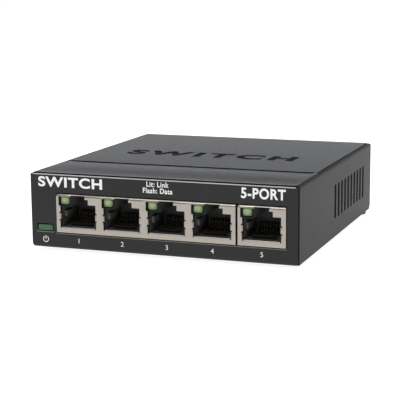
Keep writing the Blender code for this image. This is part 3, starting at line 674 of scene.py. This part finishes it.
def screw_holes(start, radius, middle_y=0.0):
    """A round hole at each screw whose name starts so."""
    centres = [centre_mm(name) for name in nodes_named(start)]
    return [circle((centre.x, centre.y - middle_y), radius) for centre in centres]


def slice_sheet(bm, normal, places):
    """Cuts a flat sheet across at each place along a direction."""
    for place in places:
        everything = list(bm.verts) + list(bm.edges) + list(bm.faces)
        through = place * Vector(normal)
        bmesh.ops.bisect_plane(bm, geom=everything, dist=1e-5, plane_co=through, plane_no=normal)


def dip(across, along):
    """How far the front strip of the top falls at a point: it is crowned, with a lip at the front edge."""
    share = (along - COVER_LOW.y) / STRIP_LENGTH
    if not 0 <= share <= 1 or abs(across) > HALF_WIDTH - COVER_BEND:
        return 0.0
    fade = min((HALF_WIDTH - COVER_BEND - abs(across)) / (HALF_WIDTH - COVER_BEND - STRIP_FULL_X), 1.0)
    for (start, fall), (end, next_fall) in zip(STRIP_PROFILE, STRIP_PROFILE[1:]):
        if share <= end:
            break
    return fade * (fall + (next_fall - fall) * (share - start) / (end - start))


def groove_cutter():
    """The groove round the top's rear field: across behind the front strip, then back at both sides."""
    half = GROOVE_WIDTH / 2
    x, y = HALF_WIDTH - GROOVE_INSET, FRONT_Y + GROOVE_FROM_FRONT
    back = BACK_Y + 1
    outline = [
        (-x - half, back), (-x - half, y - half), (x + half, y - half), (x + half, back),
        (x - half, back), (x - half, y + half), (-x + half, y + half), (-x + half, back),
    ]
    bm = bmesh.new()
    add_plate(bm, outline, [], GROOVE_DEPTH + 1, 0.0, segments=1)
    move(bm, (0, 0, TOP_Z + 1))
    return bm


def stamp_cutter():
    bm = lettering("SWITCH", width=64.0, height=9.9, depth=1.25, tracking=1.3, weight=0.05)
    move(bm, (-1.0, FRONT_Y + 52.5, TOP_Z + 1))
    return bm


def make_cover_tabs(finishes):
    """The tabs inside the cover's lower edges, one over each bottom screw."""
    bm = bmesh.new()
    for name in nodes_named("cover_screw"):
        centre = centre_mm(name)
        side = math.copysign(1, centre.x)
        ends = sorted((side * TAB_INNER_X, side * (HALF_WIDTH - SHEET)))
        low, high = centre.y - TAB_HALF_LENGTH, centre.y + TAB_HALF_LENGTH
        hole = circle((centre.x, centre.y), TAB_HOLE_RADIUS)
        tab = bmesh.new()
        add_plate(tab, rectangle((ends[0], low), (ends[1], high), 0.8), [hole], SHEET, EDGE)
        move(tab, (0, 0, FLOOR_Z + GAP + SHEET))
        join(bm, tab)
    piece("cover_tabs", bm, finishes["cover"], "top_cover")


def make_tray(finishes):
    """The tray as a flat sheet, folded up at the front and back."""
    depth_half = (BACK_Y - FRONT_Y) / 2
    middle_y = (BACK_Y + FRONT_Y) / 2
    flat_half = depth_half - TRAY_BEND
    bend_length = TRAY_BEND * math.pi / 2
    wall = flat_half + bend_length
    end = wall + PANEL_TOP_Z - BOTTOM_Z - TRAY_BEND
    floor_x = HALF_WIDTH - SHEET - 0.1

    def along(z):
        """How far from the sheet's middle a height on either wall lies."""
        return wall + z - BOTTOM_Z - TRAY_BEND

    quarter = [
        (floor_x, flat_half - 0.5, 0.6),
        (HALF_WIDTH - 0.45, flat_half + 0.3, 0.8),
        (HALF_WIDTH, wall + 0.3, 0.8),
        (HALF_WIDTH, end, 0.45),
    ]
    corners = quarter + [(-x, s, r) for x, s, r in reversed(quarter)]
    corners += [(-x, -s, r) for x, s, r in quarter] + [(x, -s, r) for x, s, r in reversed(quarter)]

    quad_low, quad_high = box_mm("quad_port_shield")
    single_high = box_mm("single_port_shield")[1]
    window_low, window_high = box_mm("power_light_pipe")
    inlet_low, inlet_high = box_mm("power_inlet_housing")
    holes = [
        rectangle((quad_low.x - PORTS_FIT, -along(quad_high.z + PORTS_FIT)),
                  (single_high.x + PORTS_FIT, -along(quad_low.z - GAP)), 0.1),
        rectangle((window_low.x - GAP, -along(window_high.z + GAP)),
                  (window_high.x + GAP, -along(window_low.z - GAP)), 0.3),
        rectangle((inlet_low.x - GAP, along(inlet_low.z - GAP)),
                  (inlet_high.x + GAP, along(inlet_high.z + GAP)), 0.5),
    ]
    holes += screw_holes("board_screw", SCREW_HOLE_RADIUS, middle_y)
    holes += screw_holes("cover_screw", COVER_SCREW_HOLE_RADIUS, middle_y)
    for opening in frame["record"]["physics"]["openings"]:
        if opening["name"].startswith("keyhole"):
            low, high = [Vector(corner) / MM for corner in opening["box_m"]]
            centre = (low + high) / 2
            holes.append(keyhole_outline(centre.x, centre.y - middle_y))

    bm = bmesh.new()
    outer = [(x, s) for x, s in rounded(corners)]
    swapped = [[(s, x) for x, s in outline] for outline in (outer, *holes)]
    add_plate(bm, swapped[0], swapped[1:], SHEET, PANEL_EDGE, segments=3)
    # The sheet is cut where the painted highlight along the panel's top edge stops.
    slice_sheet(bm, (0, 1, 0), (-HALF_WIDTH + PAINTED_HIGHLIGHT_INSET, HALF_WIDTH - PAINTED_HIGHLIGHT_INSET))
    fold(bm, flat_half, TRAY_BEND, lambda across, x, up: (x, middle_y + across, BOTTOM_Z - up))
    # Faces take the panel paint, painted highlights along the front edges, and painted shade on the walls' cut
    # ends.
    for face in bm.faces:
        face.material_index = tray_shade(face.calc_center_median(), face.normal)
    shades = [finishes["panel"], finishes["edge"], finishes["painted_lower_highlight"], finishes["recess"]]
    piece("tray_sheet", bm, shades, "bottom_tray")
    make_bosses(finishes)


def tray_shade(centre, normal):
    """A face's finish on the tray: painted highlights on its rounded front edges, painted shade on its cut sides.
    """
    on_front_edge = centre.y < FRONT_Y + PANEL_EDGE and normal.z > 0.1
    # the panel's rounded top front edge: a painted highlight
    if on_front_edge and centre.z > PANEL_TOP_Z - PANEL_EDGE and abs(centre.x) < HALF_WIDTH - PAINTED_HIGHLIGHT_INSET:
        return 1
    # upward-facing front edges low on the panel: a dimmer painted highlight
    if on_front_edge and centre.z < PANEL_TOP_Z / 2:
        return 2
    # the walls' cut ends: painted shade
    if centre.z > FLOOR_Z and abs(centre.x) > HALF_WIDTH - 0.1:
        return 3
    return 0


def keyhole_outline(x, y):
    """A round head hole that runs into a narrower neck towards the back."""
    meet = math.degrees(math.asin(KEYHOLE_NECK_RADIUS / KEYHOLE_HEAD_RADIUS))
    head = arc((x, y), KEYHOLE_HEAD_RADIUS, 90 + meet, 450 - meet, 32)
    neck = arc((x, y + KEYHOLE_LENGTH), KEYHOLE_NECK_RADIUS, 0, 180, 12)
    return head + neck


def make_bosses(finishes):
    """The pressed and tapped bosses that the board's screws go into."""
    bm = bmesh.new()
    for name in nodes_named("board_screw"):
        centre = centre_mm(name)
        boss = bmesh.new()
        height = BOARD_LOW.z - GAP - FLOOR_Z + 0.2
        add_plate(boss, circle((0, 0), BOSS_RADIUS), [circle((0, 0), SCREW_HOLE_RADIUS)], height, 0.3)
        move(boss, (centre.x, centre.y, BOARD_LOW.z - GAP))
        join(bm, boss)
    piece("tray_bosses", bm, finishes["panel"], "bottom_tray")


def make_feet(finishes):
    for name in nodes_named("foot"):
        low, high = box_mm(name)
        radius, height = (high.x - low.x) / 2, high.z - low.z
        profile = [(0, 0.15), (radius * 0.55, 0.15), (radius * 0.7, 0.0)]
        profile += [(radius - 0.4 + 0.4 * math.sin(a), 0.4 - 0.4 * math.cos(a)) for a in angles(5)]
        profile += [(radius, height - 0.1), (radius - 0.1, height), (0, height)]
        bm = bmesh.new()
        add_turned(bm, profile, steps=48)
        centre = centre_mm(name)
        move(bm, (centre.x, centre.y, low.z))
        piece(name.replace("foot", "rubber_foot"), bm, finishes["rubber"], name)


def angles(steps):
    """Angles over a quarter turn."""
    return [math.pi / 2 * i / steps for i in range(steps + 1)]


def make_screws(finishes):
    for name in nodes_named("cover_screw"):
        low, high = box_mm(name)
        profile = [(0, low.z), (2.45, low.z), (2.6, low.z + 0.12), (THREAD_RADIUS, low.z + 0.95)]
        profile += thread(low.z + 1.05, high.z - 0.3)
        profile.append((0, high.z))
        make_screw(name, profile, low.z, finishes["black_steel"])
    for name in nodes_named("board_screw"):
        low, high = box_mm(name)
        head = high.z - 1.8
        profile = [(0.8, low.z), *thread(low.z + 0.4, head - 0.2), (THREAD_RADIUS, head), (2.7, head)]
        profile += [(2.7, head + 1.0), (2.4, head + 1.5), (1.6, high.z), (0, high.z)]
        make_screw(name, profile, high.z, finishes["steel"])


def thread(low, high):
    """A run of ridges that stands in for a thread's helix, seen edge on."""
    count = max(int((high - low) / THREAD_PITCH), 1)
    step = (high - low) / count
    points = []
    for i in range(count):
        points += [(THREAD_RADIUS, low + i * step), (THREAD_RADIUS - THREAD_DEPTH, low + (i + 0.5) * step)]
    return points


def make_screw(name, profile, face_z, finish):
    """A turned screw with a cross recess in its head."""
    bm = bmesh.new()
    add_turned(bm, profile)
    cutters = []
    for across, along in ((CROSS_REACH, CROSS_HALF_WIDTH), (CROSS_HALF_WIDTH, CROSS_REACH)):
        cutter = bmesh.new()
        outline = rectangle((-across, -along), (across, along))
        add_plate(cutter, outline, [], 2 * CROSS_DEPTH, 0.0, segments=1)
        move(cutter, (0, 0, face_z + CROSS_DEPTH))
        cutters.append(cutter)
    bm = cut(bm, cutters)
    centre = centre_mm(name)
    move(bm, (centre.x, centre.y, 0))
    piece(f"cross_{name}", bm, finish, name)


# ---------------- ports
def port_centres():
    """Each port's number and centre, from its contacts."""
    return {int(name.rsplit("_", 1)[1]): centre_mm(name).x for name in nodes_named("port_contacts")}


def shield_opening(x, light):
    """The stepped opening: upper left cut square for the light, relief notches for the fingers."""
    light_low, light_high = light
    light_left = light_low.x - 0.55
    light_floor = light_high.z - LENS_HEIGHT - 0.3
    latch_left = x - SHIELD_STEPS[2][0]
    plug_half = SHIELD_STEPS[0][0]
    right = half_opening(x, SHIELD_FLOOR_Z, SHIELD_STEPS)
    left = [
        (latch_left, SHIELD_STEPS[2][1]),
        (latch_left, light_high.z),
        (light_left, light_high.z),
        (light_left, light_floor),
        (x - plug_half, light_floor),
    ]
    outline = [right[0]]
    outline += notches(x + plug_half, NOTCH_DEPTH, FINGER_Z)
    outline += right[1:] + left
    outline += notches(x - plug_half, -NOTCH_DEPTH, FINGER_Z)[::-1]
    outline.append((x - plug_half, SHIELD_FLOOR_Z))
    return outline


def notches(edge_x, depth, heights):
    """Two short slits into an upright edge, below and above a finger, from the bottom up."""
    points = []
    for z in heights:
        low, high = z - NOTCH_HEIGHT / 2, z + NOTCH_HEIGHT / 2
        points += [(edge_x, low), (edge_x + depth, low), (edge_x + depth, high), (edge_x, high)]
    return points


def make_shield(name, numbers, finishes):
    """The can: front, top and back folded from one sheet, with the two sides let in."""
    low, high = box_mm(name)
    middle_y = (low.y + high.y) / 2
    flat_half = (high.y - low.y) / 2 - SHIELD_BEND
    bend_length = SHIELD_BEND * math.pi / 2
    wall = flat_half + bend_length
    end = wall + high.z - SHIELD_BEND - low.z

    def along(z):
        return wall + high.z - SHIELD_BEND - z

    centres = port_centres()
    holes = []
    for number in numbers:
        opening = shield_opening(centres[number], box_mm(f"port_light_{number}"))
        holes.append([(-along(z), x) for x, z in opening])
    bm = bmesh.new()
    add_plate(bm, rectangle((-end, low.x), (end, high.x), 0.2), holes, SHIELD_SHEET, 0.14)
    fold(bm, flat_half, SHIELD_BEND, lambda across, x, up: (x, middle_y + across, high.z + up))
    for x, facing in ((low.x, "left"), (high.x, "right")):
        side = bmesh.new()
        inner = SHIELD_SHEET + 0.02
        flip = 1 if facing == "right" else -1
        ends = sorted((flip * (low.y + inner), flip * (high.y - inner)))
        outline = rectangle((ends[0], low.z), (ends[1], high.z - inner), 0.2)
        add_plate(side, outline, [], SHIELD_SHEET, 0.05)
        turn(side, facing, (x, 0, 0))
        join(bm, side)
    for number in numbers:
        join(bm, lip(centres[number], low.y))
        for side in (-1, 1):
            join(bm, finger(centres[number], side, low.y))
    piece(name.replace("port_shield", "shield_can"), bm, finishes["nickel"], name)


def lip(x, front_y):
    """The rolled edge along the bottom of an opening."""
    bm = bmesh.new()
    length = 2 * (SHIELD_STEPS[0][0] - LIP_RADIUS)
    add_plate(bm, circle((0, 0), LIP_RADIUS, 16), [], length, 0.1)
    turn(bm, "right", (x + length / 2, front_y + LIP_RADIUS, SHIELD_FLOOR_Z))
    return bm


def finger(x, side, front_y):
    """A grounding finger: a strip folded in from the opening's edge that bulges towards the plug."""
    half_width = SHIELD_STEPS[0][0]
    route = [(0.0, front_y + 0.15), (0.12, front_y + 0.5), (0.42, front_y + 1.6), (0.5, front_y + 2.2),
             (0.3, front_y + 3.0)]
    low, high = FINGER_Z[0] + 0.25, FINGER_Z[1] - 0.25
    bm = bmesh.new()
    rings = []
    for inward, y in [tuple(p)[:2] for p in smooth_path([(a, b, 0) for a, b in route])]:
        outer = x + side * (half_width - inward)
        inner = outer - side * 0.15
        corners = ((outer, low), (outer, high), (inner, high), (inner, low))
        rings.append([bm.verts.new((u, y, z)) for u, z in corners])
    stitch(bm, rings)
    return bm


def make_housing(name, numbers, finishes):
    """The moulded block: a front part pierced by the cavities, and a back wall that closes them."""
    low, high = box_mm(name)
    centres = port_centres()
    holes = []
    for number in numbers:
        light_low, light_high = box_mm(f"port_light_{number}")
        pocket_floor = light_high.z - LENS_HEIGHT - POCKET_FIT
        x = centres[number]
        plug_half, latch_half = CAVITY_STEPS[0][0], CAVITY_STEPS[2][0]
        left = [
            (x - latch_half, CAVITY_STEPS[2][1]),
            (x - latch_half, CAVITY_STEPS[1][1]),
            (light_high.x + POCKET_WALL, CAVITY_STEPS[1][1]),
            (light_high.x + POCKET_WALL, pocket_floor - POCKET_WALL),
            (x - plug_half, pocket_floor - POCKET_WALL),
            (x - plug_half, CAVITY_FLOOR_Z),
        ]
        holes.append(half_opening(x, CAVITY_FLOOR_Z, CAVITY_STEPS) + left)
        pocket_low, pocket_high = light_low.x - POCKET_FIT, light_high.x + POCKET_FIT
        holes.append(rectangle((pocket_low, pocket_floor), (pocket_high, light_high.z + 0.05)))
    depth = high.y - low.y - CAVITY_WALL
    bm = bmesh.new()
    add_plate(bm, rectangle((low.x, low.z), (high.x, high.z), 0.2), holes, depth, 0.1)
    turn(bm, "front", (0, low.y, 0))
    back = bmesh.new()
    add_plate(back, rectangle((low.x, low.z), (high.x, high.z), 0.2), [], CAVITY_WALL, 0.1)
    turn(back, "front", (0, high.y - CAVITY_WALL, 0))
    join(bm, back)
    for number in numbers:
        join(bm, comb_ribs(centres[number], high.y - CAVITY_WALL))
        join(bm, guide_rib(centres[number], low.y))
    # Faces behind the front take the lighter copy of the black: painted light inside the cavities.
    for face in bm.faces:
        if face.calc_center_median().y > low.y + EDGE:
            face.material_index = 1
    shades = [finishes["plastic"], finishes["cavity"]]
    piece(name.replace("port_housing", "socket_block"), bm, shades, name)


def comb_ribs(x, back_y):
    """The thin walls at the back of a cavity that keep the contact wires apart."""
    bm = bmesh.new()
    for i in range(WIRE_COUNT + 1):
        rib_x = x + (i - WIRE_COUNT / 2) * WIRE_PITCH
        low, high = (rib_x - 0.14, back_y - 3.6, CAVITY_FLOOR_Z - 0.1), (rib_x + 0.14, back_y + 0.1, 12.6)
        join(bm, block(low, high, 0.04, 0.05))
    return bm


def guide_rib(x, front_y):
    """The short rib on a cavity's left wall that keeps the plug square."""
    wall_x = x - CAVITY_STEPS[0][0]
    low, high = (wall_x - 0.1, front_y + 1.4, GUIDE_Z[0]), (wall_x + GUIDE_WIDTH, front_y + 6.0, GUIDE_Z[1])
    return block(low, high, 0.06, 0.12)


def make_contacts(number, finishes):
    """Eight round spring wires on a moulded comb bar."""
    name = f"port_contacts_{number}"
    low, high = box_mm(name)
    body = f"contacts_{number}"
    pivot = joint_place(body)
    crest_z, end_y = high.z - WIRE_RADIUS, high.y - 0.1
    route = [
        (pivot.y, pivot.z),
        (pivot.y + 3.0, pivot.z + 0.98),
        (pivot.y + 5.6, crest_z - 0.15),
        (pivot.y + 6.5, crest_z),
        (pivot.y + 7.4, crest_z - 0.15),
        (end_y, crest_z - 0.95),
    ]
    middle_x = centre_mm(name).x
    bm = bmesh.new()
    for i in range(WIRE_COUNT):
        x = middle_x + (i - (WIRE_COUNT - 1) / 2) * WIRE_PITCH
        add_tube(bm, smooth_path([(x, y, z) for y, z in route]), WIRE_RADIUS)
    piece(f"contact_wires_{number}", bm, finishes["gold"], name, body)
    radius = pivot.y - low.y
    bar = bmesh.new()
    add_plate(bar, circle((0, 0), radius, 24), [], high.x - low.x, 0.1)
    turn(bar, "right", (high.x, pivot.y, pivot.z))
    # The comb bar takes the black of painted shade, for the shade deep in the socket.
    piece(f"contact_bar_{number}", bar, finishes["recess"], name, body)


def make_port_light(number, finishes):
    """A clear green lamp with a softly domed face, and its leads."""
    name = f"port_light_{number}"
    low, high = box_mm(name)
    lens_low_z = high.z - LENS_HEIGHT
    outline = rectangle((low.x, lens_low_z), (high.x, high.z), 0.5)
    bm = bmesh.new()
    add_plate(bm, outline, [], LENS_LENGTH, 0.4, segments=4, back_edge=0.1)
    turn(bm, "front", (0, low.y, 0))
    lens = piece(f"lamp_lens_{number}", bm, finishes["lens"], name)
    # The lens's origin is the centre of its painted glow.
    set_origin(lens, ((low.x + high.x) / 2 - 0.1, low.y, lens_low_z + 1.6))
    leads = bmesh.new()
    middle_x, middle_z = (low.x + high.x) / 2, (lens_low_z + high.z) / 2
    for x in (middle_x - LEAD_OFFSET, middle_x + LEAD_OFFSET):
        route = [(x, low.y + 7.0, middle_z), (x, high.y - 1.2, middle_z), (x, high.y - 0.45, middle_z - 0.2),
                 (x, high.y - 0.25, middle_z - 1.0), (x, high.y - 0.25, low.z)]
        add_tube(leads, smooth_path(route, 4), LEAD_RADIUS, 8)
    piece(f"lamp_leads_{number}", leads, finishes["steel"], name)


# ---------------- power
def make_power_light(finishes):
    low, high = box_mm("power_light_pipe")
    bm = bmesh.new()
    add_plate(bm, rectangle((low.x, low.z), (high.x, high.z), 0.2), [], high.y - low.y, 0.15, segments=3)
    turn(bm, "front", (0, low.y, 0))
    piece("light_bar", bm, finishes["window"], "power_light_pipe")
    low, high = box_mm("power_lamp")
    piece("lamp_chip", block(low, high, 0.1, 0.2), finishes["lamp"], "power_lamp")


def make_inlet(finishes):
    """The power inlet: block, rounded mouth, centre pin and sprung leaf."""
    low, high = box_mm("power_inlet_housing")
    pin_low, pin_high = box_mm("power_inlet_pin")
    axis = (pin_low + pin_high) / 2
    bm = bmesh.new()
    outline = rectangle((-high.x, low.z), (-low.x, high.z), 0.5)
    add_plate(bm, outline, [circle((-axis.x, axis.z), INLET_BORE_RADIUS, 48)], INLET_DEPTH, 0.25, segments=3)
    turn(bm, "back", (0, high.y, 0))
    join(bm, block((low.x, low.y, low.z), (high.x, high.y - INLET_DEPTH, high.z), 0.2, 0.3))
    piece("inlet_block", bm, finishes["plastic"], "power_inlet_housing")

    radius, length = (pin_high.x - pin_low.x) / 2, pin_high.y - pin_low.y
    profile = [(radius, 0), (radius, length - radius)]
    profile += [(radius * math.cos(a), length - radius + radius * math.sin(a)) for a in angles(6)[1:-1]]
    profile.append((0, length))
    bm = bmesh.new()
    add_turned(bm, profile)
    turn(bm, "back", (axis.x, pin_low.y, axis.z))
    piece("inlet_pin", bm, finishes["nickel"], "power_inlet_pin")

    low, high = box_mm("power_inlet_leaf")
    pivot = joint_place("power_leaf")
    crest = high.z - 0.1
    route = [(low.y, pivot.z), (pivot.y + 1.0, pivot.z), (pivot.y + 4.4, crest - 0.1), (pivot.y + 5.2, crest),
             (pivot.y + 6.0, crest - 0.15), (high.y, crest - 0.65)]
    bm = bmesh.new()
    rings = []
    for point in smooth_path([(0, y, z) for y, z in route], 5):
        corners = rectangle((low.x, -LEAF_HALF_SHEET), (high.x, LEAF_HALF_SHEET))
        rings.append([bm.verts.new((x, point.y, point.z + z)) for x, z in corners])
    stitch(bm, rings)
    piece("inlet_leaf", bm, finishes["nickel"], "power_inlet_leaf", "power_leaf")


# ---------------- board
def make_board(finishes):
    holes = screw_holes("board_screw", SCREW_HOLE_RADIUS)
    bm = bmesh.new()
    outline = rectangle((BOARD_LOW.x, BOARD_LOW.y), (BOARD_HIGH.x, BOARD_HIGH.y), 1.0)
    add_plate(bm, outline, holes, BOARD_HIGH.z - BOARD_LOW.z, 0.05)
    move(bm, (0, 0, BOARD_HIGH.z))
    piece("board_laminate", bm, finishes["board"], "circuit_board")


def finish_electronics(finishes):
    """Gives the nodes whose shapes are already right their detailed materials."""
    for start, finish in KEPT_NODES:
        for name in nodes_named(start):
            for slot in frame["nodes"][name].material_slots:
                slot.material = finishes[finish]


# ---------------- printing
def lettering(text, width, height, depth, tracking=1.0, weight=0.0):
    """Letters in the XY plane, centred on the origin, faces at z = 0. Width None keeps the letters' own."""
    curve = bpy.data.curves.new("letters", "FONT")
    curve.body = text
    curve.align_x = "CENTER"
    curve.space_character = tracking
    curve.offset = weight
    curve.extrude = 0.5
    curve.resolution_u = 6
    holder = add_object("letters", curve)
    mesh = evaluated_mesh(holder)
    bm = bmesh.new()
    bm.from_mesh(mesh)
    bpy.data.objects.remove(holder)
    bpy.data.curves.remove(curve)
    bpy.data.meshes.remove(mesh)
    bmesh.ops.remove_doubles(bm, verts=bm.verts, dist=1e-5)
    low = Vector([min(v.co[i] for v in bm.verts) for i in range(3)])
    high = Vector([max(v.co[i] for v in bm.verts) for i in range(3)])
    middle = (low + high) / 2
    scale_y = height / (high.y - low.y)
    scale_x = scale_y if width is None else width / (high.x - low.x)
    for vert in bm.verts:
        u, v, n = vert.co - middle
        vert.co = (u * scale_x, v * scale_y, (n - 0.5) * depth)
    bmesh.ops.recalc_face_normals(bm, faces=bm.faces)
    return bm


def print_front(bm, x, z):
    """Moves a flat shape onto the front panel, a hair proud of it."""
    turn(bm, "front", (x, FRONT_Y - PRINT_PROUD, z))
    return bm


def make_printing(finishes):
    """Generic marks: what the object is, what its lights mean, the port numbers and the power symbol."""
    printed = bmesh.new()
    for text, width, height, weight, x, rise in FRONT_WORDS:
        letters = lettering(text, width, height, PRINT_DEPTH, 1.1, weight)
        join(printed, print_front(letters, x, PANEL_TOP_Z - WORDS_BELOW_TOP + rise))
    for number, x in port_centres().items():
        digit = lettering(str(number), None, DIGIT_HEIGHT, PRINT_DEPTH)
        join(printed, print_front(digit, x, BOTTOM_Z + 3.0))
    join(printed, print_front(power_symbol(), centre_mm("power_light_pipe").x + 0.1, BOTTOM_Z + 2.95))
    piece("front_printing", printed, finishes["ink"])


def power_symbol():
    """A broken ring with an upright bar in its gap."""
    ring = arc((0, 0), 1.1, 125, 415, 24) + arc((0, 0), 0.85, 415, 125, 24)
    bm = bmesh.new()
    for outline in (ring, rectangle((-0.13, 0.0), (0.13, 1.25))):
        add_plate(bm, outline, [], PRINT_DEPTH, 0.0, segments=1)
    return bm


# ---------------- stage
def make_stage():
    bm = bmesh.new()
    corners = rectangle((-FLOOR_REACH, -FLOOR_REACH), (FLOOR_REACH, FLOOR_REACH))
    bm.faces.new([bm.verts.new((x, y, 0)) for x, y in corners])
    mesh = bpy.data.meshes.new("floor")
    bm.to_mesh(mesh)
    bm.free()
    mesh.transform(Matrix.Scale(MM, 4))
    floor_finish = surface("floor_paper", (0.50, 0.50, 0.50), 0.9, tint=0.01, tint_size=60, grain_size=1.0,
                           grain_depth=0.0, Emission_Strength=0.91)
    shader = floor_finish.node_tree.nodes["Principled BSDF"]
    shader.inputs["Emission Color"].default_value = (1, 1, 1, 1)
    mesh.materials.append(floor_finish)
    add_object("floor", mesh)


def area_light(name, place, aim, size, watts, colour=(1, 1, 1)):
    light = bpy.data.lights.new(name, "AREA")
    light.shape = "RECTANGLE"
    light.size, light.size_y = size[0] * MM, size[1] * MM
    light.energy = watts
    light.color = colour
    holder = add_object(name, light)
    holder.location = Vector(place) * MM
    direction = Vector(aim) - Vector(place)
    holder.rotation_euler = direction.to_track_quat("-Z", "Y").to_euler()
    holder.visible_camera = False


def make_lights():
    """A soft, dim room that the camera sees as a white sweep, with a broad lamp overhead."""
    world = bpy.data.worlds.new("studio")
    bpy.context.scene.world = world
    world.use_nodes = True
    nodes, links = world.node_tree.nodes, world.node_tree.links
    background = nodes["Background"]
    background.inputs["Color"].default_value = (1, 1, 1, 1)
    seen = nodes.new("ShaderNodeLightPath")
    strength = nodes.new("ShaderNodeMapRange")
    strength.inputs["To Min"].default_value = ROOM_LIGHT
    strength.inputs["To Max"].default_value = SWEEP_LIGHT
    links.new(seen.outputs["Is Camera Ray"], strength.inputs["Value"])
    links.new(strength.outputs["Result"], background.inputs["Strength"])
    area_light("overhead", (0, 0, 900), (0, 0, 20), (900, 500), 4)
    area_light("behind", (-350, 1400, 150), (0, 0, 20), (1900, 180), 2.35, (0.93, 0.96, 1.0))
    area_light("above_front", (-150, -800, 900), (0, -40, 20), (700, 350), 4.5)
    area_light("back_left", (-900, 800, 600), (0, 0, 20), (700, 500), 5)
    area_light("right", (1200, 300, 500), (0, 0, 20), (600, 500), 1.2)


def make_camera():
    camera = bpy.data.cameras.new("camera")
    camera.lens = CAMERA_LENS
    camera.sensor_width = 36
    camera.clip_start, camera.clip_end = 0.02, 20
    holder = add_object("camera", camera)
    holder.location = Vector(CAMERA_PLACE) * MM
    level = Euler((math.radians(90 - CAMERA_PITCH), 0, math.radians(CAMERA_YAW)), "XYZ").to_matrix()
    roll = Matrix.Rotation(math.radians(CAMERA_ROLL), 3, "Z")
    holder.rotation_euler = (level @ roll).to_euler()
    bpy.context.scene.camera = holder


def main():
    finishes = make_finishes()
    make_camera()
    make_cover(finishes)
    make_tray(finishes)
    make_feet(finishes)
    make_screws(finishes)
    make_shield("quad_port_shield", (1, 2, 3, 4), finishes)
    make_shield("single_port_shield", (5,), finishes)
    make_housing("quad_port_housing", (1, 2, 3, 4), finishes)
    make_housing("single_port_housing", (5,), finishes)
    for number in port_centres():
        make_contacts(number, finishes)
        make_port_light(number, finishes)
    make_power_light(finishes)
    make_inlet(finishes)
    make_board(finishes)
    finish_electronics(finishes)
    make_printing(finishes)
    make_stage()
    make_lights()
    bpy.context.scene.view_settings.view_transform = "Standard"


main()
